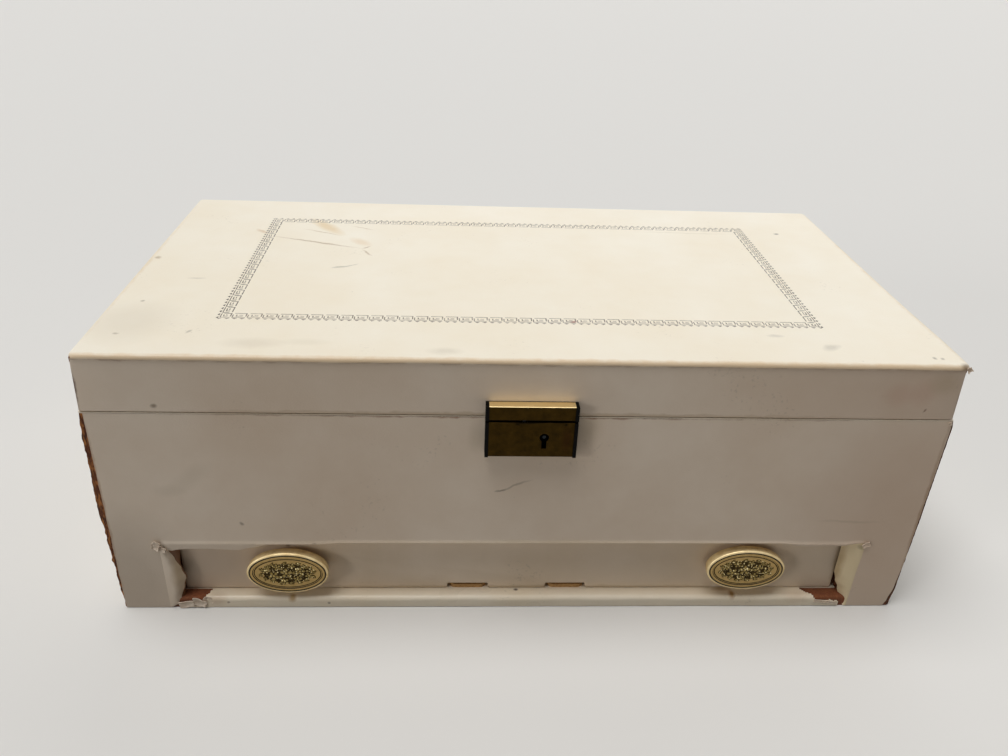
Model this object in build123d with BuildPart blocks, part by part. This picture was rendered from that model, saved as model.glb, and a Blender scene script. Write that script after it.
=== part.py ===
"""A jewelry chest: a vinyl-covered board case with a hinged lid and one low drawer.

The case is a box of fibreboard walls on a base board, with a shelf that parts the drawer bay
from the lined well above it. The lid turns on two butt hinges along the back. As it opens, two
brass brackets on the lid and two brass arms on the case walls carry a divided tray up and back,
always level, because bracket and arm are the equal cranks of a parallelogram. The drawer runs
on the base board, astride two guide strips that show through notches in its front. A box lock
with a sliding bolt holds the tongue of the hasp on the lid.

Frame: millimetres, +Z up, the front faces -Y, and the origin is the centre of the base.
"""

import os
from math import cos, radians, sin

from build123d import *

# The closed chest, outside its covering
chest_width = 381.0
chest_depth = 208.0
chest_height = 139.0
lid_height = 27.45
seam_gap = 0.6
lid_overhang = 0.5

# Boards and sheets
wall = 8.0
skin = 0.6
lining = 0.8
lid_lining = 1.1
base_thickness = 5.7
shelf_thickness = 4.0
cheek_thickness = 8.0
lid_panel_thickness = 3.0
lid_edge_radius = 1.9
corner_wear = 9.0
front_sheet_inset = 1.6
fit_gap = 0.3

# The drawer opening in the case front
stile_width = 21.5
opening_top = 41.6
shelf_above_opening = 2.4
flap_gap = 0.9
left_tear = 13.0
right_tear = 17.0
tear_line = ((0.0, 3.0), (0.3, 4.5), (0.7, 0.0), (1.0, 1.5))
flap_curl_angle = 80.0
rail_edge_radius = 2.2

# Drawer
drawer_side_gap = 6.25
drawer_top_gap = 0.6
drawer_rear_gap = 10.9
drawer_recess = 6.5
drawer_front_thickness = 4.8
drawer_wall = 4.0
drawer_wall_drop = 6.4
drawer_bottom_thickness = 2.5
drawer_pad_thickness = 1.5
drawer_divider = 3.0
drawer_divider_spacing = 110.0
drawer_divider_drop = 2.2
guide_spacing = 49.0
guide_width = 18.0
guide_height = 2.1
guide_end_radius = 3.0
notch_gap = 1.0

# Oval knobs
knob_from_drawer_end = 51.25
knob_below_middle = 0.3
knob_width = 38.6
knob_height = 25.6
knob_thickness = 5.5
knob_front_radius = 1.8
knob_back_radius = 0.8
knob_stem_radius = 4.0
knob_stem_length = 2.2
knob_face_rim = 2.6
knob_face_depth = 0.7
medallion_gap = 0.15
medallion_thickness = 1.1
knob_screw_radius = 1.6
knob_screw_head_radius = 3.2
knob_screw_head = 1.6
knob_screw_bite = 4.0

# Well under the tray
well_divider = 3.0
well_divider_spacing = 120.0
well_divider_below_tray = 4.7

# Hinges
hinge_from_side = 70.5
hinge_length = 38.0
hinge_leaf = 0.9
hinge_leaf_reach = 7.0
knuckle_radius = 2.2
hinge_pin_radius = 1.0
running_gap = 0.06
knuckle_gap = 0.3
knuckle_stand_off = 0.3
hinge_screw_spacing = 22.0
screw_radius = 0.9
screw_head_radius = 1.7
screw_length = 7.0
lid_open_angle = 100.0

# Self-rising tray and its parallelogram
crank_length = 48.0
crank_start_angle = -7.0
arm_offset_forward = 92.0
arm_offset_down = 12.0
tray_side_gap = 3.2
tray_front_gap = 1.5
tray_behind_pivot = 16.0
tray_below_seam = 2.05
tray_height = 28.0
tray_wall = 4.0
tray_bottom_thickness = 3.0
tray_divider = 3.0
tray_centre_bay = 112.0
tray_divider_drop = 3.0
roll_spacing = 16.0
roll_gap = 0.6
roll_height = 17.0
arm_thickness = 1.2
arm_half_width = 4.0
arm_side_gap = 0.8
pivot_radius = 1.5
pivot_clearance = 0.1
open_pivot_clearance = 0.25
side_play = 0.1
stud_head_radius = 2.8
stud_head = 0.6
stud_bite = 4.0
pin_bite = 3.0
stop_along_arm = 8.0
stop_radius = 1.4
stop_gap = 0.1
bracket_rise = 12.0
bracket_foot_width = 20.0
bracket_foot_height = 9.0
bracket_rivet_radius = 1.2
bracket_rivet_bite = 5.0
bracket_rivet_spacing = 12.0

# Box lock and hasp
lock_centre = 1.5
lock_width = 40.4
lock_depth = 5.0
lock_height = 17.6
lock_gap = 0.55
hasp_height = 6.8
lock_plate = 0.7
lock_flange = 1.5
lock_flange_proud = 0.6
lock_back_plate_thickness = 0.5
keyhole_offset = 5.7
keyhole_below_top = 7.6
keyhole_radius = 2.1
keyhole_slot_width = 2.2
keyhole_slot_drop = 5.6
key_post_radius = 0.8
tongue_offset = -3.3
tongue_thickness = 1.4
tongue_depth = 3.2
tongue_length = 7.0
tongue_head_width = 8.0
tongue_head_height = 1.2
tongue_slot_margin = 0.6
bolt_hole_margin = 0.4
bolt_length = 13.5
bolt_thickness = 1.2
bolt_height = 2.4
bolt_gap = 0.6
bolt_below_top = 3.4
talon_width = 3.0
talon_depth = 0.9
bolt_lug_thickness = 1.0
bolt_lug_jaw = 0.9
bolt_lug_offsets = (0.0, 6.5)
bolt_running_gap = 0.15
rivet_spacing = 28.0
rivet_radius = 1.2
rivet_head_radius = 2.0
rivet_head = 0.8
rivet_bite = 6.5
lock_rivet_drop = 4.0

# Inside of the lid
lid_pad_thickness = 2.4
mirror_side_margin = 45.8
mirror_end_margin = 34.3
mirror_thickness = 1.8
mirror_bevel = 0.8

# Places that follow from the sizes above
half_width = chest_width / 2
half_depth = chest_depth / 2
seam_height = chest_height - lid_height
front = -half_depth
board_x = half_width - skin
board_y = half_depth - skin
inner_x = board_x - wall
inner_y = board_y - wall
lined_x = inner_x - lining
lined_y = inner_y - lining
lid_lined_x = inner_x - lid_lining
lid_lined_y = inner_y - lid_lining
case_top = seam_height - seam_gap / 2
lid_bottom = seam_height + seam_gap / 2
case_board_top = case_top - skin
lid_board_bottom = lid_bottom + skin
lid_panel_top = chest_height - skin
lid_panel_bottom = lid_panel_top - lid_panel_thickness
lid_pad_bottom = lid_panel_bottom - lid_pad_thickness
opening_half = half_width - stile_width
opening_width = 2 * opening_half
shelf_bottom = opening_top + shelf_above_opening
shelf_top = shelf_bottom + shelf_thickness
well_floor = shelf_top + lining
bay_floor = base_thickness + skin

# Drawer bay: half its clear width, and the drawer's own faces
drawer_x = opening_half - drawer_side_gap
drawer_width = 2 * drawer_x
flap_end = drawer_x + flap_gap
flap_radius = opening_half - flap_end
flap_bottom = bay_floor + fit_gap
bay_half = flap_end + side_play
drawer_face = front + drawer_recess
drawer_board_face = drawer_face + skin
drawer_front_back = drawer_board_face + drawer_front_thickness
drawer_rear = inner_y - drawer_rear_gap
drawer_underside = bay_floor + fit_gap
drawer_height = opening_top - drawer_top_gap - drawer_underside
notch_width = guide_width + 2 * notch_gap
notch_height = guide_height + notch_gap - fit_gap
drawer_bottom_height = drawer_underside + notch_height
drawer_floor = drawer_bottom_height + drawer_bottom_thickness
drawer_pad_top = drawer_floor + drawer_pad_thickness
drawer_wall_top = drawer_underside + drawer_height - drawer_wall_drop
drawer_inner_width = drawer_width - 2 * drawer_wall
drawer_inner_depth = drawer_rear - drawer_wall - drawer_front_back
drawer_inner_middle = drawer_front_back + drawer_inner_depth / 2
notch_places = [(side * guide_spacing / 2, drawer_underside) for side in (-1, 1)]
knob_middle = drawer_underside + drawer_height / 2 - knob_below_middle
knob_x = drawer_x - knob_from_drawer_end
knob_places = [(side * knob_x, knob_middle) for side in (-1, 1)]
knob_back = drawer_face - knob_stem_length
knob_face = knob_back - knob_thickness
knob_floor = knob_face + knob_face_depth

# Lock and hasp on the front faces
lock_left = lock_centre - lock_width / 2
lock_face = front - lock_depth
lock_plate_face = front - lock_back_plate_thickness
lock_middle = (lock_plate_face + lock_face + lock_plate) / 2
lock_case_width = lock_width - 2 * lock_flange
flange_depth = lock_depth + lock_flange_proud
lock_top = seam_height - lock_gap
lock_bottom = lock_top - lock_height
hasp_bottom = seam_height + lock_gap
hasp_top = hasp_bottom + hasp_height
rivet_x = [lock_centre + side * rivet_spacing / 2 for side in (-1, 1)]
lock_rivets_at = [(x, (lock_bottom + lock_top) / 2 - lock_rivet_drop) for x in rivet_x]
hasp_rivets_at = [(x, (hasp_bottom + hasp_top) / 2) for x in rivet_x]
keyhole_place = (lock_centre + keyhole_offset, lock_top - keyhole_below_top)
tongue_x = lock_centre + tongue_offset
bolt_tip = tongue_x + tongue_thickness / 2 + bolt_gap
bolt_z = lock_top - bolt_below_top

# Hinges along the back edge
hinge_y = half_depth + knuckle_radius + knuckle_stand_off
knuckle_length = (hinge_length - 2 * knuckle_gap) / 3
hinge_leaf_inner = half_depth - hinge_leaf_reach
leaf_middle = (hinge_leaf_inner + half_depth) / 2
case_leaf_bottom = case_top - hinge_leaf
hinge_centres = [side * (half_width - hinge_from_side) for side in (-1, 1)]
hinge_edges = [(x, half_depth) for x in hinge_centres]
hinge_screws_at = [
    (x + end * hinge_screw_spacing / 2, (hinge_leaf_inner + board_y) / 2)
    for x in hinge_centres
    for end in (-1, 1)
]

# The parallelogram, as places across the chest: (y, z)
crank_forward = crank_length * cos(radians(crank_start_angle))
crank_up = crank_length * sin(radians(crank_start_angle))
bracket_pivot = (hinge_y - crank_forward, seam_height + crank_up)
arm_pivot = (hinge_y - arm_offset_forward, seam_height - arm_offset_down)
tray_pivot = (bracket_pivot[0] - arm_offset_forward, bracket_pivot[1] - arm_offset_down)
arm_middle = ((arm_pivot[0] + tray_pivot[0]) / 2, (arm_pivot[1] + tray_pivot[1]) / 2)
arm_x = lined_x - arm_side_gap
arm_inside = arm_x - arm_thickness
bracket_x = lid_lined_x
bracket_inside = bracket_x - arm_thickness
arm_open_angle = radians(crank_start_angle + lid_open_angle)
stop_reach = arm_half_width + stop_radius + stop_gap
stop_place = (
    arm_pivot[0] - stop_along_arm * cos(arm_open_angle) + stop_reach * sin(arm_open_angle),
    arm_pivot[1] + stop_along_arm * sin(arm_open_angle) + stop_reach * cos(arm_open_angle),
)
foot_left = bracket_pivot[0] - bracket_foot_width / 2
foot_right = bracket_pivot[0] + bracket_foot_width / 2
foot_bottom = bracket_pivot[1] + bracket_rise
foot_top = foot_bottom + bracket_foot_height
bracket_rivets_at = [
    (bracket_pivot[0] + side * bracket_rivet_spacing / 2, (foot_bottom + foot_top) / 2)
    for side in (-1, 1)
]

# The tray's outside and floor
tray_x = lined_x - tray_side_gap
tray_front = -lined_y + tray_front_gap
tray_back = bracket_pivot[0] + tray_behind_pivot
tray_middle = (tray_front + tray_back) / 2
tray_top = seam_height - tray_below_seam
tray_underside = tray_top - tray_height
tray_floor_top = tray_underside + tray_bottom_thickness
tray_inner_x = tray_x - tray_wall
tray_inner_depth = tray_back - tray_front - 2 * tray_wall
tray_divider_x = (tray_centre_bay + tray_divider) / 2
side_bay = tray_inner_x - tray_divider_x - tray_divider / 2
roll_count = round(tray_inner_depth / roll_spacing)
roll_pitch = tray_inner_depth / roll_count
roll_radius = (roll_pitch - roll_gap) / 2

# Which side of its place a primitive stands on
above = (Align.CENTER, Align.CENTER, Align.MIN)
below = (Align.CENTER, Align.CENTER, Align.MAX)

os.makedirs("parts", exist_ok=True)


def finish(piece, name):
    """Labels a finished piece and writes it to its own file."""
    piece.part.label = name
    export_step(piece.part, f"parts/{name}.step")


# Base board, with a tongue between the stiles that shows as the rail below the drawer
with BuildPart() as base_board:
    with BuildSketch():
        Rectangle(2 * inner_x, 2 * inner_y)
        with Locations((0, -(inner_y + board_y) / 2)):
            Rectangle(opening_width, wall)
    extrude(amount=base_thickness)
    rail_edge = base_board.edges().filter_by(Axis.X).group_by(Axis.Y)[0].sort_by(Axis.Z)[-1]
    fillet(rail_edge, rail_edge_radius - skin)
finish(base_board, "base_board")

# Vinyl on the bay floor, turned down over the rail and torn away at the rail's ends
with BuildPart() as base_covering:
    with BuildSketch(Plane.YZ.offset(-bay_half)):
        with BuildLine():
            outside = FilletPolyline(
                (front, fit_gap), (front, bay_floor), (inner_y, bay_floor), radius=rail_edge_radius
            )
            inside = FilletPolyline(
                (-board_y, fit_gap),
                (-board_y, base_thickness),
                (inner_y, base_thickness),
                radius=rail_edge_radius - skin,
            )
            Line(outside @ 0, inside @ 0)
            Line(outside @ 1, inside @ 1)
        make_face()
    extrude(amount=2 * bay_half)
    for side, width in ((-1, left_tear), (1, right_tear)):
        with BuildSketch():
            torn_edge = [
                (side * (bay_half - width + stray), front + share * drawer_recess)
                for share, stray in tear_line
            ]
            with BuildLine():
                Polyline(
                    (side * bay_half, front),
                    *torn_edge,
                    (side * bay_half, drawer_face),
                    close=True,
                )
            make_face()
        extrude(amount=bay_floor, mode=Mode.SUBTRACT)
finish(base_covering, "base_covering")

# Front wall, cut away below for the drawer so that two stiles reach the floor
with BuildPart() as front_panel:
    with BuildSketch(Plane.XZ.offset(board_y)):
        with Locations((0, case_board_top / 2)):
            Rectangle(2 * inner_x, case_board_top)
        with Locations((0, (opening_top + skin) / 2)):
            Rectangle(opening_width, opening_top + skin, mode=Mode.SUBTRACT)
    extrude(amount=-wall)
    with BuildSketch(Plane.XZ.offset(board_y)):
        with Locations(*lock_rivets_at):
            Circle(rivet_radius)
    extrude(amount=-rivet_bite, mode=Mode.SUBTRACT)
finish(front_panel, "front_panel")

# Side walls over the chest's whole depth, bored for the lift arms' studs and stops
for name, side in (("left", -1), ("right", 1)):
    with BuildPart() as side_panel:
        with BuildSketch(Plane.YZ.offset(side * inner_x)):
            with Locations((0, case_board_top / 2)):
                Rectangle(2 * board_y, case_board_top)
        extrude(amount=side * wall)
        with BuildSketch(Plane.YZ.offset(side * inner_x)):
            with Locations(arm_pivot):
                Circle(pivot_radius)
            with Locations(stop_place):
                Circle(stop_radius)
        extrude(amount=side * stud_bite, mode=Mode.SUBTRACT)
    finish(side_panel, f"{name}_side_panel")

# Back wall, seated for the hinge leaves along its top edge
with BuildPart() as back_panel:
    with BuildSketch(Plane.XZ.offset(-inner_y)):
        with Locations((0, case_board_top / 2)):
            Rectangle(2 * inner_x, case_board_top)
    extrude(amount=-wall)
    with BuildSketch(Plane.XY.offset(case_leaf_bottom)):
        with Locations(*hinge_edges):
            Rectangle(hinge_length, 2 * hinge_leaf_reach)
    extrude(amount=hinge_leaf, mode=Mode.SUBTRACT)
    with Locations(*[(x, y, case_top) for x, y in hinge_screws_at]):
        Cylinder(screw_radius, screw_length, align=below, mode=Mode.SUBTRACT)
finish(back_panel, "back_panel")

# Cheeks that line the drawer bay on both sides and carry the shelf
with BuildPart() as drawer_bay_cheeks:
    with BuildSketch(Plane.XY.offset(base_thickness)):
        with Locations(*[(side * (bay_half + cheek_thickness / 2), 0) for side in (-1, 1)]):
            Rectangle(cheek_thickness, 2 * inner_y)
    extrude(amount=shelf_bottom - base_thickness)
finish(drawer_bay_cheeks, "drawer_bay_cheeks")

# Shelf between the drawer bay and the well
with BuildPart() as shelf_board:
    with BuildSketch(Plane.XY.offset(shelf_bottom)):
        Rectangle(2 * inner_x, 2 * inner_y)
    extrude(amount=shelf_thickness)
finish(shelf_board, "shelf_board")

# Round-ended strips that the drawer's notches run over
with BuildPart() as drawer_guides:
    with BuildSketch(Plane.XY.offset(bay_floor)):
        with Locations(*[(x, (drawer_board_face + inner_y) / 2) for x, _ in notch_places]):
            Rectangle(guide_width, inner_y - drawer_board_face)
    extrude(amount=guide_height)
    fillet(drawer_guides.edges().filter_by(Axis.Z).group_by(Axis.Y)[0], guide_end_radius)
finish(drawer_guides, "drawer_guides")

# Vinyl on the case front, turned in under the top of the drawer opening
with BuildPart() as front_covering:
    left_edge = -half_width + front_sheet_inset
    right_edge = half_width - front_sheet_inset / 2
    with BuildSketch(Plane.XZ.offset(board_y)):
        with Locations(((left_edge + right_edge) / 2, (fit_gap + case_board_top) / 2)):
            Rectangle(right_edge - left_edge, case_board_top - fit_gap)
        with Locations((0, opening_top / 2)):
            Rectangle(opening_width, opening_top, mode=Mode.SUBTRACT)
        with Locations(*lock_rivets_at):
            Circle(rivet_radius, mode=Mode.SUBTRACT)
    extrude(amount=skin)
    with BuildSketch(Plane.XZ.offset(board_y)):
        with Locations((0, opening_top + skin / 2)):
            Rectangle(opening_width, skin)
    extrude(amount=-(drawer_recess - skin))
finish(front_covering, "front_covering")

# Covering of the opening's sides, sprung loose: curled at the left, slack at the right
with BuildPart() as covering_flaps:
    with BuildSketch(Plane.XY.offset(flap_bottom)):
        with BuildLine():
            curl_centre = (-opening_half, front + flap_radius)
            outside = CenterArc(curl_centre, flap_radius, -90, flap_curl_angle)
            inside = CenterArc(curl_centre, flap_radius - skin, -90, flap_curl_angle)
            Line(outside @ 0, inside @ 0)
            Line(outside @ 1, inside @ 1)
        make_face()
        with BuildLine():
            Polyline(
                (opening_half, front),
                (opening_half, -board_y),
                (flap_end + skin, drawer_face - skin),
                (flap_end, drawer_face - skin),
                (opening_half - skin, front),
                close=True,
            )
        make_face()
    extrude(amount=opening_top - flap_bottom)
finish(covering_flaps, "covering_flaps")

# Vinyl round the left side, the back and the right side, worn back from the front corners
with BuildPart() as case_covering:
    with BuildSketch(Plane.XY.offset(fit_gap)):
        Rectangle(chest_width, chest_depth)
        Rectangle(2 * board_x, 2 * board_y, mode=Mode.SUBTRACT)
        with Locations((0, -board_y)):
            Rectangle(chest_width, 2 * corner_wear, mode=Mode.SUBTRACT)
    extrude(amount=case_board_top - fit_gap)
    with BuildSketch(Plane.XY.offset(case_leaf_bottom)):
        with Locations(*hinge_edges):
            Rectangle(hinge_length, 2 * hinge_leaf_reach)
    extrude(amount=hinge_leaf, mode=Mode.SUBTRACT)
finish(case_covering, "case_covering")

# Vinyl turned over the top edges of the case walls
with BuildPart() as case_rim_binding:
    with BuildSketch(Plane.XY.offset(case_board_top)):
        Rectangle(chest_width, chest_depth)
        Rectangle(2 * inner_x, 2 * inner_y, mode=Mode.SUBTRACT)
        with Locations(*hinge_edges):
            Rectangle(hinge_length, 2 * hinge_leaf_reach, mode=Mode.SUBTRACT)
    extrude(amount=skin)
finish(case_rim_binding, "case_rim_binding")

# Flocked lining on the well's walls and floor
with BuildPart() as well_lining:
    with BuildSketch(Plane.XY.offset(shelf_top)):
        Rectangle(2 * inner_x, 2 * inner_y)
    extrude(amount=lining)
    with BuildSketch(Plane.XY.offset(shelf_top)):
        Rectangle(2 * inner_x, 2 * inner_y)
        Rectangle(2 * lined_x, 2 * lined_y, mode=Mode.SUBTRACT)
    extrude(amount=case_board_top - shelf_top)
    for side in (-1, 1):
        with BuildSketch(Plane.YZ.offset(side * inner_x)):
            with Locations(arm_pivot):
                Circle(pivot_radius)
            with Locations(stop_place):
                Circle(stop_radius)
        extrude(amount=-side * lining, mode=Mode.SUBTRACT)
finish(well_lining, "well_lining")

# Dividers that stand in the well
with BuildPart() as well_dividers:
    with BuildSketch(Plane.XY.offset(well_floor)):
        with Locations(*[(side * well_divider_spacing / 2, 0) for side in (-1, 1)]):
            Rectangle(well_divider, 2 * lined_y)
    extrude(amount=tray_underside - well_divider_below_tray - well_floor)
finish(well_dividers, "well_dividers")

# Shouldered studs that the arms turn on, and the pegs that stop the raised arms
with BuildPart() as arm_studs:
    for radius, start, end in (
        (pivot_radius, inner_x + stud_bite, arm_inside - side_play),
        (stud_head_radius, lined_x, arm_x + side_play),
        (stud_head_radius, arm_inside - side_play, arm_inside - side_play - stud_head),
    ):
        with BuildSketch(Plane.YZ.offset(start)):
            with Locations(arm_pivot):
                Circle(radius)
        extrude(amount=end - start)
    with BuildSketch(Plane.YZ.offset(inner_x + stud_bite)):
        with Locations(stop_place):
            Circle(stop_radius)
    extrude(amount=arm_inside - inner_x - stud_bite)
    mirror(about=Plane.YZ)
finish(arm_studs, "arm_studs")

# Flat brass arms with round ends, from the studs on the case to the pins on the tray
for name, side in (("left", -1), ("right", 1)):
    with BuildPart() as lift_arm:
        with BuildSketch(Plane.YZ.offset(side * arm_x)):
            with Locations(arm_middle):
                SlotCenterToCenter(crank_length, 2 * arm_half_width, rotation=-crank_start_angle)
            with Locations(arm_pivot):
                Circle(pivot_radius + pivot_clearance, mode=Mode.SUBTRACT)
            with Locations(tray_pivot):
                Circle(pivot_radius + open_pivot_clearance, mode=Mode.SUBTRACT)
        extrude(amount=-side * arm_thickness)
    finish(lift_arm, f"{name}_lift_arm")

# Folded channels behind the lock and the hasp, with black end flanges
for name, bottom, top, rivets_at in (
    ("lock_back_plate", lock_bottom, lock_top, lock_rivets_at),
    ("hasp_back_plate", hasp_bottom, hasp_top, hasp_rivets_at),
):
    with BuildPart() as channel:
        with BuildSketch(Plane.XY.offset(bottom)):
            with Locations((lock_centre, front - flange_depth / 2)):
                Rectangle(lock_width, flange_depth)
            with Locations((lock_centre, lock_plate_face - flange_depth / 2)):
                Rectangle(lock_case_width, flange_depth, mode=Mode.SUBTRACT)
        extrude(amount=top - bottom)
        with BuildSketch(Plane.XZ.offset(-front)):
            with Locations(*rivets_at):
                Circle(rivet_radius)
        extrude(amount=lock_back_plate_thickness, mode=Mode.SUBTRACT)
        if name == "lock_back_plate":
            for offset in bolt_lug_offsets:
                with BuildSketch(Plane.YZ.offset(lock_centre + offset)):
                    lug_reach = lock_plate_face - lock_middle + bolt_thickness
                    with Locations((lock_plate_face - lug_reach / 2, bolt_z)):
                        Rectangle(lug_reach, bolt_height + 2 * (bolt_running_gap + bolt_lug_jaw))
                    with Locations((lock_middle, bolt_z)):
                        Rectangle(
                            bolt_thickness + 2 * bolt_running_gap,
                            bolt_height + 2 * bolt_running_gap,
                            mode=Mode.SUBTRACT,
                        )
                extrude(amount=bolt_lug_thickness)
    finish(channel, name)

# Brass cases of the lock and the hasp: the keyhole, and the tongue's slots in the facing plates
for name, bottom, top in (
    ("lock_case", lock_bottom, lock_top),
    ("hasp_case", hasp_bottom, hasp_top),
):
    with BuildPart() as case:
        with BuildSketch(Plane.YZ.offset(lock_left + lock_flange)):
            with BuildLine():
                Polyline(
                    (lock_plate_face, bottom),
                    (lock_face, bottom),
                    (lock_face, top),
                    (lock_plate_face, top),
                    (lock_plate_face, top - lock_plate),
                    (lock_face + lock_plate, top - lock_plate),
                    (lock_face + lock_plate, bottom + lock_plate),
                    (lock_plate_face, bottom + lock_plate),
                    close=True,
                )
            make_face()
        extrude(amount=lock_case_width)
        fillet(case.edges().filter_by(Axis.X).group_by(Axis.Y)[0], lock_plate / 2)
        if name == "lock_case":
            with BuildSketch(Plane.XZ.offset(-lock_face)):
                with Locations(keyhole_place):
                    Circle(keyhole_radius)
                with Locations((keyhole_place[0], keyhole_place[1] - keyhole_slot_drop / 2)):
                    Rectangle(keyhole_slot_width, keyhole_slot_drop)
            extrude(amount=-lock_plate, mode=Mode.SUBTRACT)
            slot_margin = tongue_slot_margin
            slot_start = lock_top - lock_plate
        else:
            slot_margin = 0
            slot_start = hasp_bottom
        with BuildSketch(Plane.XY.offset(slot_start)):
            with Locations((tongue_x, lock_middle)):
                Rectangle(tongue_thickness + 2 * slot_margin, tongue_depth + 2 * slot_margin)
        extrude(amount=lock_plate, mode=Mode.SUBTRACT)
    finish(case, name)

# Rivets that hold lock and hasp to the walls, with their heads inside the cases
for name, rivets_at in (("lock_rivets", lock_rivets_at), ("hasp_rivets", hasp_rivets_at)):
    with BuildPart() as rivets:
        with BuildSketch(Plane.XZ.offset(board_y - rivet_bite)):
            with Locations(*rivets_at):
                Circle(rivet_radius)
        extrude(amount=-lock_plate_face - board_y + rivet_bite)
        with BuildSketch(Plane.XZ.offset(-lock_plate_face)):
            with Locations(*rivets_at):
                Circle(rivet_head_radius)
        extrude(amount=rivet_head)
    finish(rivets, name)

# Post that the hollow key turns on
with BuildPart() as key_post:
    with BuildSketch(Plane.XZ.offset(-lock_plate_face)):
        with Locations(keyhole_place):
            Circle(key_post_radius)
    extrude(amount=lock_plate_face - lock_face - lock_plate)
finish(key_post, "key_post")

# Bolt, drawn back at rest, with a talon for the key in its lower edge
with BuildPart() as lock_bolt:
    with BuildSketch(Plane.XZ.offset(-lock_middle - bolt_thickness / 2)):
        with Locations((bolt_tip + bolt_length / 2, bolt_z)):
            Rectangle(bolt_length, bolt_height)
        with Locations((keyhole_place[0], bolt_z - bolt_height / 2)):
            Rectangle(talon_width, 2 * talon_depth, mode=Mode.SUBTRACT)
    extrude(amount=bolt_thickness)
finish(lock_bolt, "lock_bolt")

# Tongue of the hasp, headed inside the hasp's case and pierced for the bolt
with BuildPart() as hasp_tongue:
    tongue_reach = tongue_length + lock_plate
    tongue_root = hasp_bottom + lock_plate
    with BuildSketch(Plane.XZ.offset(-lock_middle - tongue_depth / 2)):
        with Locations((tongue_x, tongue_root - tongue_reach / 2)):
            Rectangle(tongue_thickness, tongue_reach)
        with Locations((tongue_x, tongue_root + tongue_head_height / 2)):
            Rectangle(tongue_head_width, tongue_head_height)
    extrude(amount=tongue_depth)
    with BuildSketch(Plane.YZ.offset(tongue_x)):
        with Locations((lock_middle, bolt_z)):
            Rectangle(bolt_thickness + 2 * bolt_hole_margin, bolt_height + 2 * bolt_hole_margin)
    extrude(amount=tongue_thickness, both=True, mode=Mode.SUBTRACT)
finish(hasp_tongue, "hasp_tongue")

# Hinge leaves let into the top of the back wall, with two knuckles each
with BuildPart() as case_hinge_leaves:
    with BuildSketch(Plane.XY.offset(case_leaf_bottom)):
        with Locations(*[(x, leaf_middle) for x in hinge_centres]):
            Rectangle(hinge_length, hinge_leaf_reach)
    extrude(amount=hinge_leaf)
    for centre in hinge_centres:
        for start in (-hinge_length / 2, hinge_length / 2 - knuckle_length):
            with BuildSketch(Plane.YZ.offset(centre + start)):
                with Locations((hinge_y, seam_height)):
                    Circle(knuckle_radius)
                with Locations(((half_depth + hinge_y) / 2, case_leaf_bottom + hinge_leaf / 2)):
                    Rectangle(hinge_y - half_depth, hinge_leaf)
                with Locations((hinge_y, seam_height)):
                    Circle(hinge_pin_radius, mode=Mode.SUBTRACT)
            extrude(amount=knuckle_length)
    with Locations(*[(x, y, case_top) for x, y in hinge_screws_at]):
        Cone(screw_radius, screw_head_radius, hinge_leaf, align=below, mode=Mode.SUBTRACT)
finish(case_hinge_leaves, "case_hinge_leaves")

# Hinge pins, held by the case's knuckles
with BuildPart() as hinge_pins:
    for centre in hinge_centres:
        with BuildSketch(Plane.YZ.offset(centre - hinge_length / 2)):
            with Locations((hinge_y, seam_height)):
                Circle(hinge_pin_radius)
        extrude(amount=hinge_length)
finish(hinge_pins, "hinge_pins")

# Lid leaves of the hinges, with one knuckle each between the case's two
with BuildPart() as lid_hinge_leaves:
    with BuildSketch(Plane.XY.offset(lid_bottom)):
        with Locations(*[(x, leaf_middle) for x in hinge_centres]):
            Rectangle(hinge_length, hinge_leaf_reach)
    extrude(amount=hinge_leaf)
    for centre in hinge_centres:
        with BuildSketch(Plane.YZ.offset(centre - knuckle_length / 2)):
            with Locations((hinge_y, seam_height)):
                Circle(knuckle_radius)
            with Locations(((half_depth + hinge_y) / 2, lid_bottom + hinge_leaf / 2)):
                Rectangle(hinge_y - half_depth, hinge_leaf)
            with Locations((hinge_y, seam_height)):
                Circle(hinge_pin_radius + running_gap, mode=Mode.SUBTRACT)
        extrude(amount=knuckle_length)
    with Locations(*[(x, y, lid_bottom) for x, y in hinge_screws_at]):
        Cone(screw_head_radius, screw_radius, hinge_leaf, align=above, mode=Mode.SUBTRACT)
finish(lid_hinge_leaves, "lid_hinge_leaves")

# Countersunk screws of the hinge leaves, down into the case and up into the lid
with BuildPart() as case_hinge_screws:
    with Locations(*[(x, y, case_top) for x, y in hinge_screws_at]):
        Cone(screw_radius, screw_head_radius, hinge_leaf, align=below)
        Cylinder(screw_radius, screw_length, align=below)
finish(case_hinge_screws, "case_hinge_screws")

with BuildPart() as lid_hinge_screws:
    with Locations(*[(x, y, lid_bottom) for x, y in hinge_screws_at]):
        Cone(screw_head_radius, screw_radius, hinge_leaf, align=above)
        Cylinder(screw_radius, screw_length, align=above)
finish(lid_hinge_screws, "lid_hinge_screws")

# Front rim of the lid, bored for the hasp's rivets
with BuildPart() as lid_front_rim:
    with BuildSketch(Plane.XY.offset(lid_board_bottom)):
        with Locations((0, -(inner_y + board_y) / 2)):
            Rectangle(2 * inner_x, wall)
    extrude(amount=lid_panel_bottom - lid_board_bottom)
    with BuildSketch(Plane.XZ.offset(board_y)):
        with Locations(*hasp_rivets_at):
            Circle(rivet_radius)
    extrude(amount=-rivet_bite, mode=Mode.SUBTRACT)
finish(lid_front_rim, "lid_front_rim")

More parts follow.
